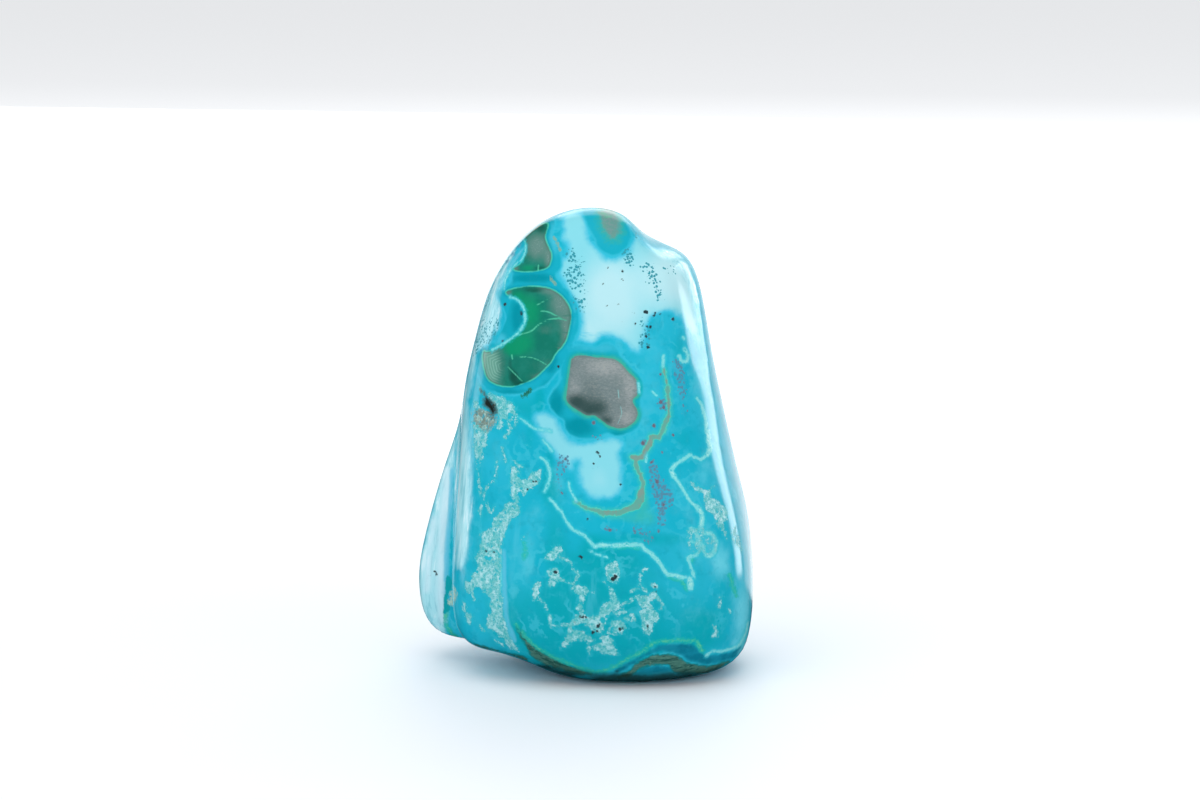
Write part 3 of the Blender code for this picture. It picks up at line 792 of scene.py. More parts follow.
# %% Cut the front finer
FRONT_FACES_CAMERA = 0.10
MOST_TRIANGLES = 196_000


def face_facts(piece):
    """The middle of each face in millimetres, and the way each faces."""
    count = len(piece.data.polygons)
    middles, normals = np.empty(count * 3), np.empty(count * 3)
    piece.data.polygons.foreach_get("center", middles)
    piece.data.polygons.foreach_get("normal", normals)
    return middles.reshape(-1, 3) / MM, normals.reshape(-1, 3)


def facing_camera(points_mm, normals):
    """1 where the surface faces the camera squarely, 0 where it is seen edge on."""
    to_camera = eye_mm - points_mm
    to_camera /= np.linalg.norm(to_camera, axis=1)[:, None]
    return (normals * to_camera).sum(1)


def cut_finer(piece, chosen):
    """Cuts the chosen faces into four, as Subdivide does in edit mode."""
    bpy.context.view_layer.objects.active = piece
    bpy.ops.object.mode_set(mode="EDIT")
    bpy.ops.mesh.select_mode(type="FACE")
    bpy.ops.mesh.select_all(action="DESELECT")
    bpy.ops.object.mode_set(mode="OBJECT")
    piece.data.polygons.foreach_set("select", chosen)
    bpy.ops.object.mode_set(mode="EDIT")
    bpy.ops.mesh.subdivide(number_cuts=1, ngon=False)
    bpy.ops.object.mode_set(mode="OBJECT")
    print("cut", chosen.sum(), "faces, now", len(piece.data.polygons))


middles, normals = face_facts(stone)
cut_finer(stone, facing_camera(middles, normals) > FRONT_FACES_CAMERA)

middles, normals = face_facts(stone)
front = facing_camera(middles, normals) > FRONT_FACES_CAMERA
drawing = View(photo_pixels(middles), FRONT_MM_PER_PIXEL, front.astype(float))
edges = [
    np.abs(drawing.inside([*MALACHITE.values()])),
    np.abs(drawing.inside([GREY_PATCH])),
    np.abs(drawing.inside(OLIVE_BANDS.values())),
    drawing.threads(MINT_VEINS + MALACHITE_VEINS + OLIVE_VEIN + YELLOW_LINE + CHALK_THREADS),
    drawing.spots(PIT_SPOTS + RED_SPOTS),
]
nearest_edge = np.minimum.reduce(edges)
# a four-sided face is two triangles, and cutting one adds three faces
spare = (MOST_TRIANGLES // 2 - len(stone.data.polygons)) // 3
chosen = np.zeros(len(middles), bool)
chosen[np.argsort(nearest_edge)[:spare]] = True
print("finest within", round(float(nearest_edge[chosen].max()), 2), "mm of an edge")
cut_finer(stone, chosen & front)

bpy.ops.object.select_all(action="DESELECT")
bpy.context.view_layer.objects.active = stone
stone.select_set(True)
draw_on = stone.modifiers.new("draw onto the smooth form", "SHRINKWRAP")
draw_on.target = smooth_form
bpy.ops.object.modifier_apply(modifier=draw_on.name)
bpy.data.objects.remove(smooth_form)
stone.data.shade_smooth()
stone.data.calc_loop_triangles()
print("skin triangles", len(stone.data.loop_triangles))

# %% [markdown]
# ## Storing the markings on the skin
#
# A point is on the front drawing as far as it faces the camera, and on the back drawing as far
# as it faces away. Each kind of marking becomes one value per point: a distance to its edge
# where the edge is crisp, and a strength where it is soft.

# %% Two views of the skin
count = len(stone.data.vertices)
points, normals = np.empty(count * 3), np.empty(count * 3)
stone.data.vertices.foreach_get("co", points)
stone.data.vertices.foreach_get("normal", normals)
points, normals = points.reshape(-1, 3) / MM, normals.reshape(-1, 3)

# a marking fades out where the surface turns away from its drawing
seen_in_front = step(facing_camera(points, normals), 0.02, 0.16)
seen_from_behind = step(normals[:, 1], 0.15, 0.5)
front = View(photo_pixels(points), FRONT_MM_PER_PIXEL, seen_in_front)
back = View(np.stack([-points[:, 0], points[:, 2]], axis=1), 1.0, seen_from_behind)


def store(name, values):
    """Stores one value per point of the skin, which the material reads by this name."""
    attribute = stone.data.attributes.new(name, "FLOAT", "POINT")
    attribute.data.foreach_set("value", values.astype(np.float32))
    print(f"{name}: {values.min():.2f} to {values.max():.2f}")


# %% One value for each kind of marking
THREAD_EXTRA_MM = 0.08
store("side", (1 - seen_in_front) * (1 - 0.75 * seen_from_behind))
store("malachite", np.minimum(front.inside(MALACHITE.values()), back.inside(BACK_MALACHITE)))
store("grey_patch", np.minimum(front.inside([GREY_PATCH]), back.inside([BACK_GREY_PATCH])))
store("top_spot", front.inside([TOP_SPOT]))
store("halo", np.minimum(front.inside(HALOS.values()), back.inside(BACK_HALOS)))
store("blue_bay", front.inside([BLUE_BAY]))
store("milk", np.minimum(front.inside(MILK_POOLS.values()), back.inside(BACK_MILK)))
store("pale_flank_and_sheen", front.inside(PALE_FLANKS_AND_SHEEN.values()))
store("deep", front.clouds(DEEP_TONE_AND_SHADE_CLOUDS) + back.clouds(BACK_DEEP))
store("pale", front.clouds(PALE_TONE_AND_HIGHLIGHT_CLOUDS) + back.clouds(BACK_PALE))
store("mint_vein", np.minimum(front.threads(MINT_VEINS), back.threads(BACK_MINT)))
store("malachite_vein", front.threads(MALACHITE_VEINS))
store("olive_vein", np.minimum(front.threads(OLIVE_VEIN), back.threads(BACK_OLIVE)))
store("yellow_line", front.threads(YELLOW_LINE))
store("olive_band", front.inside(OLIVE_BANDS.values()))
store("bottom_blue", front.inside(BOTTOM_BLUE))
chalk = np.minimum(front.crumbly(CHALK_PATCHES), back.crumbly(BACK_CHALK))
store("chalk", np.minimum(chalk, front.threads(CHALK_THREADS) - THREAD_EXTRA_MM))
store("chalk_hole", front.spots(CHALK_HOLES))
store("pit_spots", front.spots(PIT_SPOTS))
store("speckled", front.patches(SPECKLED) + back.patches(BACK_SPECKLED))
store("rusty", front.patches(RUSTY) + back.patches(BACK_RUSTY))
store("red_spots", front.spots(RED_SPOTS))
store("reflection_grey", front.clouds(REFLECTION_GREY) + back.clouds(BACK_REFLECTION_GREY))
store("darkened", front.clouds(DARKENED))
store("patch_reflection_light", front.clouds(PATCH_REFLECTION_LIGHT))
store("patch_reflection_dark", front.clouds(PATCH_REFLECTION_DARK))
store("pit_hole", front.inside([PIT_HOLE]))
store("pit_brown", front.inside([PIT_BROWN]))
store("old_cavity", front.inside([OLD_CAVITY]))
store("cream_crumb", front.inside([CREAM_CRUMB]))
store("teal_wedge", front.inside([TEAL_WEDGE]))
store("painted_highlight", front.threads(HIGHLIGHT_BANDS))
store("crease_shade_and_ridge_light", front.threads(SHADE_AND_HIGHLIGHT_BANDS))
store("milk_bright", front.clouds(MILK_BRIGHT) + back.clouds(BACK_MILK_BRIGHT))
store("lit_green", front.clouds(LIT_GREEN) + back.clouds(BACK_LIT_GREEN))
store("olive_fade", front.clouds(OLIVE_FADE))
store("underside_shade", front.clouds(UNDERSIDE_SHADE))
store("banded", front.clouds(BANDED))
store("deep_halo", front.clouds(DEEP_HALOS))
store("lit_halo", front.clouds(LIT_HALOS))
store("ochre", front.threads(OCHRE_STREAKS))
store("mauve", front.spots(MAUVE_SPOTS))

# %% [markdown]
# ## The polished stone
#
# Chrysocolla is a hydrated copper silicate, here hardened by silica, and it takes a glassy
# polish. Its colour lies in layers: a teal body, milky pools, darker halos, green malachite,
# mint and olive veins, chalky crumbs and small rusty specks. The material lays them on in the
# same order. Each layer is a value from the skin, made ragged by noise at the size of the
# mineral's own grain, and turned into a mask that mixes in that layer's colour.

# %% Colours, and one way to add a node
def linear(hex_colour):
    """An sRGB hex value as the linear colour that the shader works in."""
    parts = [int(hex_colour[i : i + 2], 16) / 255 for i in (0, 2, 4)]
    return [p / 12.92 if p <= 0.04045 else ((p + 0.055) / 1.055) ** 2.4 for p in parts] + [1.0]


stone_material = bpy.data.materials.new("polished_silicified_chrysocolla")
stone_material.use_nodes = True
tree = stone_material.node_tree
tree.nodes.clear()


def add(kind, inputs=None, **settings):
    """Adds a node. Each input is a value or another node's output, by the socket's place."""
    node = tree.nodes.new("ShaderNode" + kind)
    for name, value in settings.items():
        setattr(node, name, value)
    for place, value in (inputs or {}).items():
        if isinstance(value, bpy.types.NodeSocket):
            tree.links.new(value, node.inputs[place])
        else:
            node.inputs[place].default_value = value
    return node


position = add("TexCoord").outputs["Object"]
in_mm = add("VectorMath", {0: position, 3: 1 / MM}, operation="SCALE").outputs[0]

# %% [markdown]
# Each noise has the size of something in the stone: soft clouds, the mineral's grain, ragged
# edges, crumbs and dust. One noise could be scaled for all of them, but then every edge would
# bend in the same places. The sizes are in millimetres, as a ruler on the stone would show.

# %% Noise at the sizes of the stone's own grain
CLOUD_MM, GRAIN_MM, STREAK_MM = 9.0, 2.2, 2.0
RAGGED_MM, CRUMB_MM, DUST_MM = 0.8, 0.55, 0.28


def noise(size_mm, detail=4.0, roughness=0.55, stretched=(1, 1, 1), moved=0.0):
    """Noise whose features are about this size. Its value averages a half."""
    place = add("VectorMath", {0: in_mm, 1: stretched}, operation="MULTIPLY").outputs[0]
    place = add("VectorMath", {0: place, 1: (moved, moved, moved)}, operation="ADD").outputs[0]
    return add("TexNoise", {"Vector": place, "Scale": 1 / size_mm, "Detail": detail,
                            "Roughness": roughness}).outputs["Fac"]


clouds = noise(CLOUD_MM, detail=5.0)
grain = noise(GRAIN_MM, detail=5.0, roughness=0.6, moved=7.3)
ragged = noise(RAGGED_MM, detail=5.0, roughness=0.65, moved=13.1)
crumbs = noise(CRUMB_MM, detail=6.0, roughness=0.7, moved=3.7)
dust = noise(DUST_MM, detail=3.0, roughness=0.7, moved=21.0)
streaks = noise(STREAK_MM, detail=4.0, roughness=0.6, stretched=(1, 1, 0.16), moved=5.0)


def wobbled(value, texture, amount):
    """A value made uneven by a noise, by up to this amount each way."""
    centred = add("Math", {0: texture, 1: 0.5}, operation="SUBTRACT").outputs[0]
    return add("Math", {0: centred, 1: 2 * amount, 2: value}, operation="MULTIPLY_ADD").outputs[0]


def marking(name, *unevenness):
    """A value stored on the skin, made uneven by each noise and its amount."""
    value = add("Attribute", attribute_name=name).outputs["Fac"]
    for texture, amount in unevenness:
        value = wobbled(value, texture, amount)
    return value


def mask(value, none_at, full_at, most=1.0):
    """0 at one value and most at the other, with a smooth rise."""
    return add("MapRange", {0: value, 1: none_at, 2: full_at, 3: 0.0, 4: most},
               interpolation_type="SMOOTHSTEP").outputs[0]


def where_all(first, *others):
    """Where all of these masks are on."""
    for other in others:
        first = add("Math", {0: first, 1: other}, operation="MULTIPLY").outputs[0]
    return first


def where_any(first, *others):
    """Where at least one of these masks is on."""
    for other in others:
        first = add("Math", {0: first, 1: other}, operation="MAXIMUM").outputs[0]
    return first


def laid_on(under, colour, *masks):
    """The colour under this layer, with this layer's colour over it where all its masks are on."""
    colour = linear(colour) if isinstance(colour, str) else colour
    return add("Mix", {0: where_all(*masks), 6: under, 7: colour}, data_type="RGBA").outputs[2]


print("noises ready,", len(tree.nodes), "nodes")

# %% [markdown]
# The body is teal to sky blue. It could be one noise between two colours, but a real stone has
# several scales at once: wide clouds, grain, faint flow lines and stains. Each is one thin layer.

# %% The teal body, deeper and paler in soft clouds
body = laid_on(linear("14AFC7"), "2FBAD4", mask(clouds, 0.42, 0.62, 0.65))
body = laid_on(body, "02A2BA", mask(grain, 0.5, 0.72, 0.5))
# deeper teal, partly painted shade in a shallow valley
body = laid_on(body, "02A5B3", mask(marking("deep", (clouds, 0.5)), 0.05, 0.6))
# paler teal, partly painted highlight at the edges
body = laid_on(body, "66CFE0", mask(marking("pale", (grain, 0.4)), 0.05, 0.9))
body = laid_on(body, "54C4D8", mask(streaks, 0.56, 0.72, 0.35), mask(clouds, 0.4, 0.6))
flow = add("Math", {0: wobbled(clouds, grain, 0.03), 1: 52.0}, operation="MULTIPLY").outputs[0]
flow = mask(add("Math", {0: flow}, operation="SINE").outputs[0], 0.2, 1.0)
body = laid_on(body, "45C3D6", flow, mask(noise(6.0, moved=91.0), 0.42, 0.62, 0.5))
mottled = mask(noise(1.3, detail=4.0, moved=17.0), 0.52, 0.66)
body = laid_on(body, "0096AE", mottled, mask(grain, 0.4, 0.6, 0.3))
print("body laid,", len(tree.nodes), "nodes")

# %% [markdown]
# A pool is pale inside, with a lighter blue fringe where it thins out. Its distance value is made
# uneven by the grain, and two masks at different depths give the fringe and the pool.

# %% Milky pools
milk_distance = marking("milk", (grain, 0.8))
body = laid_on(body, "3DBFDB", mask(milk_distance, 0.6, -0.3, 0.8))
body = laid_on(body, "83D4E0", mask(milk_distance, 0.2, -1.0))
bright = mask(marking("milk_bright", (clouds, 0.3)), 0.1, 0.8)
body = laid_on(body, "B4E1E8", bright, mask(milk_distance, 0.1, -1.2))
strands = noise(1.1, detail=5.0, roughness=0.65, stretched=(1, 1, 0.14), moved=8.0)
# the pale flanks, partly pale stone and partly painted sheen in streaks along the rounded edges
flank = marking("pale_flank_and_sheen", (strands, 0.9), (grain, 0.6))
body = laid_on(body, "AEE4EC", mask(flank, 0.4, -0.9, 0.9))
body = laid_on(body, "7CC5D2", mask(flank, 0.1, -0.6), mask(strands, 0.5, 0.62, 0.75))
body = laid_on(body, "D5F0F6", mask(flank, 0.1, -0.6), mask(strands, 0.46, 0.36, 0.7))
# painted highlight streaks down the set-back lobe
painted_highlight = marking("painted_highlight", (streaks, 0.5))
body = laid_on(body, "CFECF5", mask(painted_highlight, 0.85, -0.45, 0.88))
# painted shade in the crease beside the lobe, and painted highlight on the bulge's left edge
body = laid_on(body, "5FC2DC", mask(marking("crease_shade_and_ridge_light", (grain, 0.3)), 0.35, -0.15, 0.8))

side = marking("side")
side_milk = where_all(mask(noise(13.0, detail=3.0, moved=40.0), 0.5, 0.66), side)
body = laid_on(body, "8FDBE7", side_milk)
body = laid_on(body, "0F9CB4", mask(noise(11.0, detail=3.0, moved=60.0), 0.54, 0.7), side)
print("milk laid,", len(tree.nodes), "nodes")

# %% [markdown]
# Round each patch the silica is a deeper blue, with a firm outer edge. A glow round the patch
# would be even all round, so each halo has an outline of its own. Halos are laid before the
# patches, which then cover their middles.

# %% Halos round the patches
wander = add("Math", {0: add("Math", {0: noise(8.0, detail=5.0, moved=81.0), 1: 0.5},
             operation="SUBTRACT").outputs[0]}, operation="ABSOLUTE").outputs[0]
body = laid_on(body, "7FDCDC", mask(wander, 0.012, 0.003), side)
halo_distance = marking("halo", (grain, 0.5))
body = laid_on(body, "35BBD3", mask(halo_distance, 0.4, -0.1, 0.8))
body = laid_on(body, "14A9BF", mask(halo_distance, 0.1, -0.4))
bay = marking("blue_bay", (ragged, 0.15))
body = laid_on(body, "0FA3B6", mask(bay, 0.12, -0.12))
in_halo = where_any(mask(halo_distance, 0.05, -0.35), mask(bay, 0.1, -0.1))
body = laid_on(body, "42BCD4", in_halo, mask(marking("lit_halo", (grain, 0.3)), 0.1, 0.8))
body = laid_on(body, "008FA0", in_halo, mask(marking("deep_halo", (grain, 0.3)), 0.1, 0.8))
body = laid_on(body, "7FA88F", mask(marking("ochre", (crumbs, 0.5)), 0.08, -0.12, 0.8))
body = laid_on(body, "5C9DB8", mask(marking("mauve", (crumbs, 0.6)), 0.2, -0.2, 0.8))
spot = marking("top_spot", (grain, 1.6), (crumbs, 0.8))
body = laid_on(body, "2FAAA6", mask(spot, 1.2, -0.1, 0.9))
body = laid_on(body, "64968F", mask(spot, 0.3, -0.9))
body = laid_on(body, "7D9196", mask(spot, 0.0, -1.0), mask(crumbs, 0.46, 0.6, 0.6))
body = laid_on(body, "52A88A", mask(spot, 0.1, -0.7), mask(grain, 0.44, 0.36, 0.6))
print("halos laid,", len(tree.nodes), "nodes")

# %% [markdown]
# Malachite grows in layers, so a cut shows rings that run along its edge. A wave texture would
# cross the edge. A sine of the distance from the edge follows it, as the real rings do.

# %% Malachite: green, banded like tree rings, and grey where it mirrors the light
malachite = marking("malachite", (ragged, 0.12))
rings = add("Math", {0: marking("malachite", (grain, 0.25)), 1: 16.0}, operation="MULTIPLY").outputs[0]
rings = add("Math", {0: rings}, operation="SINE").outputs[0]
rings = where_all(mask(rings, -0.2, 1.0), mask(marking("banded"), 0.1, 0.8))
green = laid_on(linear("147564"), "1F7F70", mask(grain, 0.4, 0.7))
green = laid_on(green, "0B9068", mask(marking("lit_green", (grain, 0.25)), 0.1, 0.7))
# painted grey reflection on the polish, with fine specks in it and a darker grey along the inner edge
green = laid_on(green, "668983", mask(marking("reflection_grey", (crumbs, 0.15)), 0.1, 0.95, 0.9))
green = laid_on(green, "6BA897", mask(marking("banded"), 0.4, 0.9, 0.7))
green = laid_on(green, "8FC4B2", rings, mask(marking("banded"), 0.2, 0.9, 0.5))
speckle = noise(0.22, detail=2.0, roughness=0.6, stretched=(1.4, 1, 0.7), moved=44.0)
green = laid_on(green, "9DBAB0", mask(marking("reflection_grey"), 0.5, 0.95), mask(speckle, 0.55, 0.7, 0.35))
green = laid_on(green, "12483E", mask(marking("darkened", (crumbs, 0.2)), 0.3, 0.95, 0.85))
green = laid_on(green, "4E6F66", mask(malachite, -0.5, -0.1, 0.6), mask(marking("reflection_grey"), 0.1, 0.5))
green = laid_on(green, "4FBF9C", mask(marking("malachite_vein", (ragged, 0.06)), 0.1, -0.03, 0.85))
body = laid_on(body, "0697AC", mask(malachite, 0.6, 0.12, 0.7))
body = laid_on(body, green, mask(malachite, 0.05, -0.08))
rim = where_all(mask(malachite, 0.16, 0.04), mask(malachite, -0.18, -0.04))
body = laid_on(body, "46C2A8", rim, mask(grain, 0.25, 0.5, 0.85))
print("malachite laid,", len(tree.nodes), "nodes")

# %% [markdown]
# The grey patch is dense and polished like metal, with a thin green rim where it meets the blue.
# Its grey is painted reflection, light in some soft ovals and dark in others, and a fine
# stretched noise gives it the grain of its polish.

# %% The grey patch, with painted reflection
grey = marking("grey_patch", (ragged, 0.12))
# painted reflection: the patch's grey, lighter in the light ovals
patch_grey_reflection = laid_on(linear("748485"), "979F9F", mask(marking("patch_reflection_light", (grain, 0.12)), 0.05, 0.9))
steel_grain = noise(0.45, detail=5.0, roughness=0.7, stretched=(1, 1, 1.8), moved=33.0)
patch_grey_reflection = laid_on(patch_grey_reflection, "5F7072", mask(steel_grain, 0.48, 0.68, 0.45))
patch_grey_reflection = laid_on(patch_grey_reflection, "A9A9A5", mask(steel_grain, 0.5, 0.34, 0.35))
# painted dark reflection on the patch, mostly low on the left
patch_grey_reflection = laid_on(patch_grey_reflection, "2F4A49", mask(marking("patch_reflection_dark", (grain, 0.2)), 0.1, 0.98, 0.95))
patch_grey_reflection = laid_on(patch_grey_reflection, "86A3A3", mask(dust, 0.6, 0.8, 0.2))
patch_grey_reflection = laid_on(patch_grey_reflection, "8CC9C8", mask(marking("malachite_vein", (ragged, 0.06)), 0.08, -0.03, 0.7))
body = laid_on(body, "14A3A6", mask(grey, 0.9, 0.1, 0.8))
body = laid_on(body, patch_grey_reflection, mask(grey, 0.04, -0.08))
body = laid_on(body, "5F7F7E", mask(grey, 0.02, -0.06), mask(grey, -0.6, -0.05, 0.6))
body = laid_on(body, "35AFA0", mask(grey, 0.8, 0.1), mask(grey, -0.05, 0.05), mask(grain, 0.46, 0.6, 0.7))
grey_rim = where_all(mask(grey, 0.4, 0.06), mask(grey, -0.16, 0.02))
body = laid_on(body, "3AAE98", grey_rim, mask(grain, 0.3, 0.5, 0.9))
print("grey patch laid,", len(tree.nodes), "nodes")

# %% [markdown]
# The olive vein and the brown bands near the foot look stained by iron. One colour would make
# them painted lines, so each is laid from outside in: a wide stain, a light rim, then the dark
# middle.

# %% Olive vein with its light green rim, and the bands along the bottom
olive = marking("olive_vein", (ragged, 0.5), (crumbs, 0.2))
body = laid_on(body, "3FB8A8", mask(marking("olive_fade", (grain, 0.3)), 0.15, 0.8, 0.8))
body = laid_on(body, "35BBB6", mask(olive, 0.7, 0.15, 0.6))
body = laid_on(body, "58CDB4", mask(olive, 0.2, 0.06, 0.85))
body = laid_on(body, "62A79A", mask(olive, 0.08, -0.06))
body = laid_on(body, "7B9A90", mask(olive, 0.0, -0.16), mask(grain, 0.42, 0.56))
deep_band = mask(marking("bottom_blue", (grain, 0.7)), 0.3, -0.35, 0.95)
body = laid_on(body, "04758C", deep_band)
body = laid_on(body, "1490A8", deep_band, mask(grain, 0.42, 0.6, 0.8))
band = marking("olive_band", (ragged, 0.5), (crumbs, 0.2))
body = laid_on(body, "12756F", mask(band, 0.35, 0.05, 0.8))
body = laid_on(body, "48796D", mask(band, 0.08, -0.12))
layers = noise(0.8, detail=5.0, roughness=0.7, stretched=(0.22, 1, 1.2), moved=66.0)
body = laid_on(body, "20504A", mask(band, 0.1, -0.2), mask(layers, 0.48, 0.6))
body = laid_on(body, "5F9484", mask(band, 0.15, -0.1), mask(layers, 0.44, 0.34, 0.7))
body = laid_on(body, "7FA898", mask(band, -0.05, -0.2), mask(crumbs, 0.56, 0.7, 0.5))
yellow = marking("yellow_line", (ragged, 0.5), (crumbs, 0.6))
body = laid_on(body, "22B5A8", mask(yellow, 0.35, 0.02, 0.8))
body = laid_on(body, "4FC29C", mask(yellow, 0.1, -0.08, 0.9), mask(crumbs, 0.42, 0.55))
body = laid_on(body, "8FCB86", mask(yellow, 0.0, -0.1), mask(crumbs, 0.55, 0.65, 0.8))
# painted shade along the underside
body = laid_on(body, "1B3836", mask(marking("underside_shade", (grain, 0.3)), 0.15, 0.85, 0.93))
print("olive vein and bands laid,", len(tree.nodes), "nodes")

# %% [markdown]
# The mint veins are crisp but never smooth. Two noises bend their edges, one coarse and one as
# fine as crumbs, which a drawn line alone could not do.

# %% Mint veins, wandering like coastlines
# one mint thread is a painted highlight on the grey patch's rim
mint = marking("mint_vein", (ragged, 0.4), (crumbs, 0.36))
body = laid_on(body, "2DBECC", mask(mint, 0.5, 0.02, 0.6))
body = laid_on(body, "6AD0DC", mask(mint, 0.3, 0.0, 0.6), mask(crumbs, 0.44, 0.58))
body = laid_on(body, "7ED8DA", mask(mint, 0.12, -0.06, 0.9), mask(ragged, 0.3, 0.48))
body = laid_on(body, "B2E6E0", mask(mint, -0.02, -0.16), mask(crumbs, 0.46, 0.6, 0.85))
print("mint veins laid,", len(tree.nodes), "nodes")

# %% [markdown]
# The lace is the edges of bent Voronoi cells, filled here and there to solid crumbs by a noise.
# Speckled noise alone looks like sand, and cells alone like a net. The real lace is finer than
# this: its cells are drawn about 0.8 mm wide so that they show in the render.

# %% Chalky crumbs: light lace with teal holes in it
LACE_MM = 0.8
chalk_edge = noise(0.7, detail=6.0, roughness=0.78, moved=27.0)
chalk_away = marking("chalk", (chalk_edge, 1.0))
side_chalk = add("MapRange", {0: where_all(noise(9.0, detail=4.0, moved=55.0), side), 1: 0.62, 2: 0.7,
                              3: 2.0, 4: -0.1}).outputs[0]
chalk_away = add("Math", {0: chalk_away, 1: side_chalk}, operation="MINIMUM").outputs[0]
chalk = mask(chalk_away, -0.02, -0.12)
lace = noise(0.9, detail=6.0, roughness=0.75, moved=71.0)
bent = add("TexNoise", {"Vector": in_mm, "Scale": 1 / LACE_MM, "Detail": 5.0, "Roughness": 0.75})
bent = add("VectorMath", {0: bent.outputs["Color"], 1: (1.6, 1.6, 1.6), 2: in_mm},
           operation="MULTIPLY_ADD").outputs[0]
cells = add("TexVoronoi", {"Vector": bent, "Scale": 1 / LACE_MM}, feature="DISTANCE_TO_EDGE")
cells = cells.outputs["Distance"]
chalk = where_all(chalk, where_any(mask(cells, 0.13, 0.07), mask(lace, 0.48, 0.54)))
chalk = where_all(chalk, mask(marking("chalk_hole", (crumbs, 0.4)), -0.1, 0.05))
body = laid_on(body, "2CBAC8", mask(chalk_away, 0.4, -0.05, 0.5))
in_chalk = where_all(mask(chalk_away, 0.0, -0.12), mask(marking("chalk_hole", (crumbs, 0.4)), -0.1, 0.05))
body = laid_on(body, "5FC0C0", in_chalk, mask(crumbs, 0.4, 0.5, 0.75))
body = laid_on(body, "70C8CC", chalk)
body = laid_on(body, "A6DCE1", chalk, mask(lace, 0.48, 0.58, 0.9))
body = laid_on(body, "CDEAEE", chalk, mask(lace, 0.6, 0.68, 0.8))
body = laid_on(body, "3FA9A8", chalk, mask(dust, 0.44, 0.36, 0.8))
body = laid_on(body, "7A9F98", chalk, mask(ragged, 0.62, 0.72, 0.6))
print("chalk laid,", len(tree.nodes), "nodes")

# %% [markdown]
# Small dark grains lie in the milk, and rusty ones beside the olive vein. Each Voronoi cell may
# hold one fleck, and its own random colour decides whether it does and how large it is.

# %% Specks: dark on the milk, rusty beside the olive vein
FLECK_MM = 0.40
flecks = add("TexVoronoi", {"Vector": in_mm, "Scale": 1 / FLECK_MM, "Randomness": 1.0})
fleck_pick = flecks.outputs["Color"]


def fleck_in(where):
    """Small irregular flecks, more of them where this value is higher."""
    size = add("Math", {0: fleck_pick, 1: where}, operation="ADD").outputs[0]
    size = mask(size, 0.5, 1.35, 0.55)
    away = add("Math", {0: flecks.outputs["Distance"], 1: size}, operation="SUBTRACT").outputs[0]
    return where_all(mask(wobbled(away, dust, 0.3), 0.04, -0.06), mask(where, 0.05, 0.2))


body = laid_on(body, "3796A6", fleck_in(marking("speckled", (grain, 0.2))))
rusty = marking("rusty")
body = laid_on(body, "3FA6C4", mask(wobbled(rusty, grain, 0.3), 0.2, 0.9, 0.5))
body = laid_on(body, "528AA2", fleck_in(wobbled(rusty, grain, 0.2)))
red = mask(marking("red_spots", (crumbs, 0.35)), 0.14, -0.1)
body = laid_on(body, "6A6676", red)
print("specks laid,", len(tree.nodes), "nodes")

# %% [markdown]
# The polishing wheel can't reach into a pit, so it stays dull and dark, and old brown and pale
# mineral fills it in part. The deep one is real geometry. The small ones are colour and bump.

# %% Pits, dark with old brown filling
pits = mask(marking("pit_spots", (crumbs, 0.35)), 0.12, -0.02)
body = laid_on(body, "24383E", pits)
cavity = mask(marking("old_cavity", (crumbs, 0.9), (chalk_edge, 0.8)), 0.16, -0.1)
body = laid_on(body, "21806B", cavity, mask(lace, 0.38, 0.44))
body = laid_on(body, "1A4038", cavity, mask(crumbs, 0.48, 0.6))
body = laid_on(body, "08A0A8", mask(marking("teal_wedge", (ragged, 0.3)), 0.12, -0.12))
cream = mask(marking("cream_crumb", (crumbs, 0.7), (chalk_edge, 0.5)), 0.12, -0.04)
body = laid_on(body, "A9C9BA", cream, mask(crumbs, 0.4, 0.5))
brown_pit = mask(marking("pit_brown", (chalk_edge, 1.4), (crumbs, 1.0)), 0.25, -0.2)
body = laid_on(body, "8A9F95", brown_pit, mask(crumbs, 0.38, 0.5))
body = laid_on(body, "5A6C62", brown_pit, mask(dust, 0.5, 0.4, 0.8))
body = laid_on(body, "A9D3CC", brown_pit, mask(lace, 0.52, 0.6, 0.85))
pit_hole = mask(marking("pit_hole", (chalk_edge, 1.0)), 0.0, -0.35)
body = laid_on(body, "4C5A50", mask(marking("pit_hole", (chalk_edge, 0.9)), 0.3, 0.0, 0.7))
body = laid_on(body, "232C26", pit_hole)
main_pit = where_any(pit_hole, where_all(brown_pit, mask(dust, 0.5, 0.4)))
print("pits laid,", len(tree.nodes), "nodes")

# %% [markdown]
# Polished silica has an IOR near 1.5 and a sharp, slightly waxy gloss. Crumbs and pits are
# rougher and lie a little lower. Weak subsurface light softens the milk without any glow.

# %% Polish and relief
rough_places = where_any(chalk, main_pit, pits)
roughness = add("MapRange", {0: rough_places, 3: 0.15, 4: 0.42}).outputs[0]
roughness = wobbled(roughness, grain, 0.03)
height = add("Math", {0: rough_places, 1: -0.6}, operation="MULTIPLY").outputs[0]
height = add("Math", {0: where_all(crumbs, rough_places), 1: 0.6, 2: height},
             operation="MULTIPLY_ADD").outputs[0]
height = wobbled(height, grain, 0.02)
bump = add("Bump", {"Strength": 0.6, "Distance": 0.00012, "Height": height}).outputs["Normal"]
surface = add("BsdfPrincipled", {
    "Base Color": body, "Roughness": roughness, "IOR": 1.5, "Specular IOR Level": 0.25,
    "Normal": bump,
    "Subsurface Weight": 0.08, "Subsurface Radius": (1.0, 1.0, 1.0), "Subsurface Scale": 0.0008,
})
add("OutputMaterial", {"Surface": surface.outputs[0]})
stone.data.materials.append(stone_material)
print("material nodes", len(tree.nodes))

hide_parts("chrysocolla_stone")
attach(stone, "root")

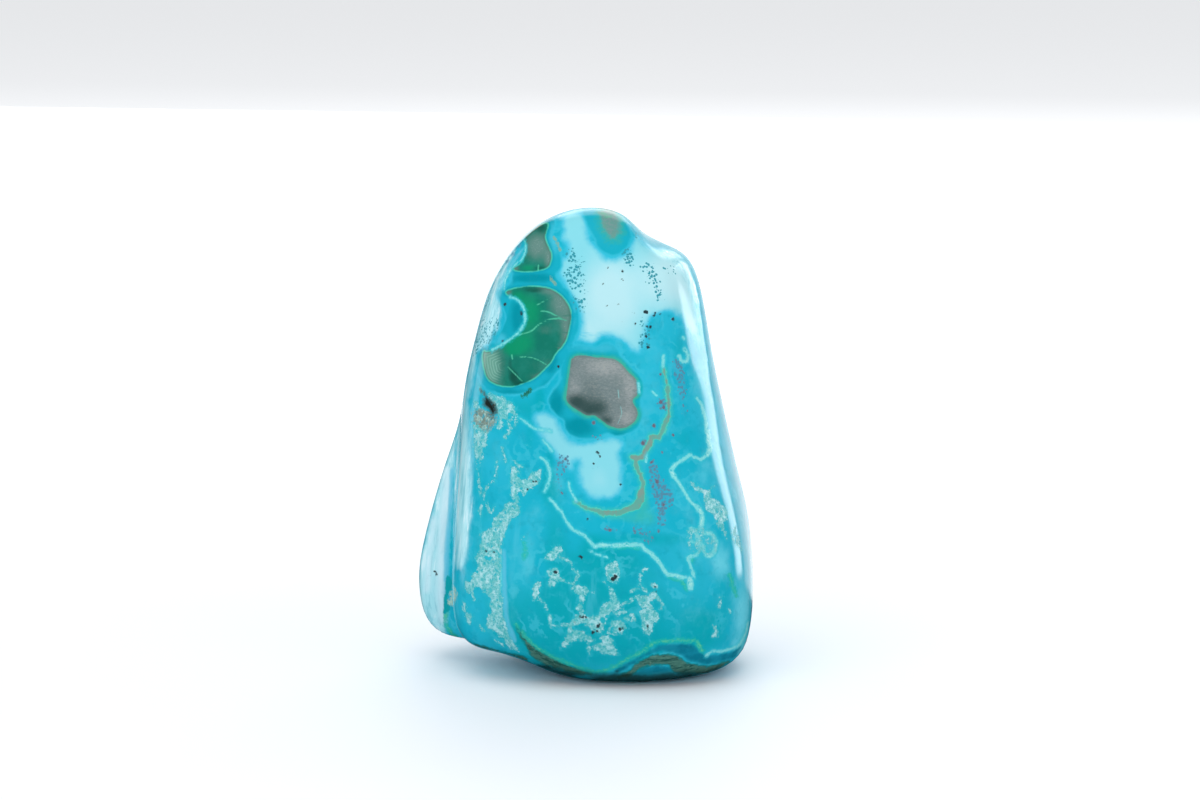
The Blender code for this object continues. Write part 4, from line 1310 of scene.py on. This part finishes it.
# %% [markdown]
# ## Floor and light
#
# The stone stood on a white surface, lit so brightly from all round that the surface almost
# vanishes. One wide floor gives the ground and the backdrop, with no edge between them. The
# light from behind doesn't reach the floor far behind the stone, which turns light grey there.
# Near the stone the card is a little darker and bluer, a painted soft shadow, and further out the floor
# glows, painted light that brightens it away from the stone.

# %% Floor
bpy.ops.object.select_all(action="DESELECT")
bpy.ops.mesh.primitive_plane_add(size=30, location=(0, 0, 0))
floor = bpy.context.object
floor.name = "floor"
floor.visible_glossy = False
floor_material = bpy.data.materials.new("white_card")
floor_material.use_nodes = True
tree = floor_material.node_tree
tree.nodes.clear()
from_stone = add("TexCoord").outputs["Object"]
from_stone = add("VectorMath", {0: from_stone}, operation="LENGTH").outputs["Value"]
# painted shadow: the card is darker and bluer near the stone
far_off = mask(from_stone, 0.03, 0.45)
card = add("Mix", {0: far_off, 6: linear("F2F7FD"), 7: linear("FAFCFF")}, data_type="RGBA").outputs[2]
# painted light: the floor glows more the further it is from the stone
glow = mask(from_stone, 0.02, 0.40, 0.31)
card = add("BsdfPrincipled", {
    "Base Color": card, "Roughness": 0.6, "Specular IOR Level": 0.2,
    "Emission Color": (1.0, 1.0, 1.0, 1.0), "Emission Strength": glow,
})
add("OutputMaterial", {"Surface": card.outputs[0]})
floor.data.materials.append(floor_material)

# %% Light
world = bpy.data.worlds.new("white_room")
world.use_nodes = True
world.node_tree.nodes["Background"].inputs["Color"].default_value = (0.98, 0.99, 1.0, 1.0)
world.node_tree.nodes["Background"].inputs["Strength"].default_value = 0.6
world.cycles_visibility.glossy = False
bpy.context.scene.world = world

LIGHTS = {
    "front left": ((-0.9, -1.1, 0.55), (1.2, 1.0), 3.9, True, False),
    "front right": ((1.0, -1.0, 0.60), (1.2, 1.0), 3.3, True, False),
    "above": ((-0.2, -0.35, 1.5), (1.4, 1.4), 10.0, True, False),
    "behind": ((0.35, 1.2, 0.85), (1.2, 0.8), 3.5, True, False),
    "left window": ((-0.90, 0.50, 0.30), (0.24, 0.9), 1.3, False, True),
    "right window": ((0.88, 0.56, 0.30), (0.30, 0.9), 6.4, False, True),
    "overhead": ((0.10, 0.60, 0.70), (0.7, 0.7), 4.0, False, True),
    "backdrop": ((0.35, 1.3, 0.45), (1.7, 1.6), 11.0, False, True),
}
for name, (place, (wide, high), watts, lights_up, mirrored) in LIGHTS.items():
    light = bpy.data.objects.new(name, bpy.data.lights.new(name, "AREA"))
    light.data.shape = "RECTANGLE"
    light.data.size, light.data.size_y = wide, high
    light.data.energy = watts
    light.visible_diffuse, light.visible_glossy = lights_up, mirrored
    light.location = place
    light.rotation_euler = (Vector((0, 0, 0.035)) - light.location).to_track_quat("-Z", "Y").to_euler()
    bpy.context.scene.collection.objects.link(light)

bpy.context.scene.view_settings.view_transform = "Standard"
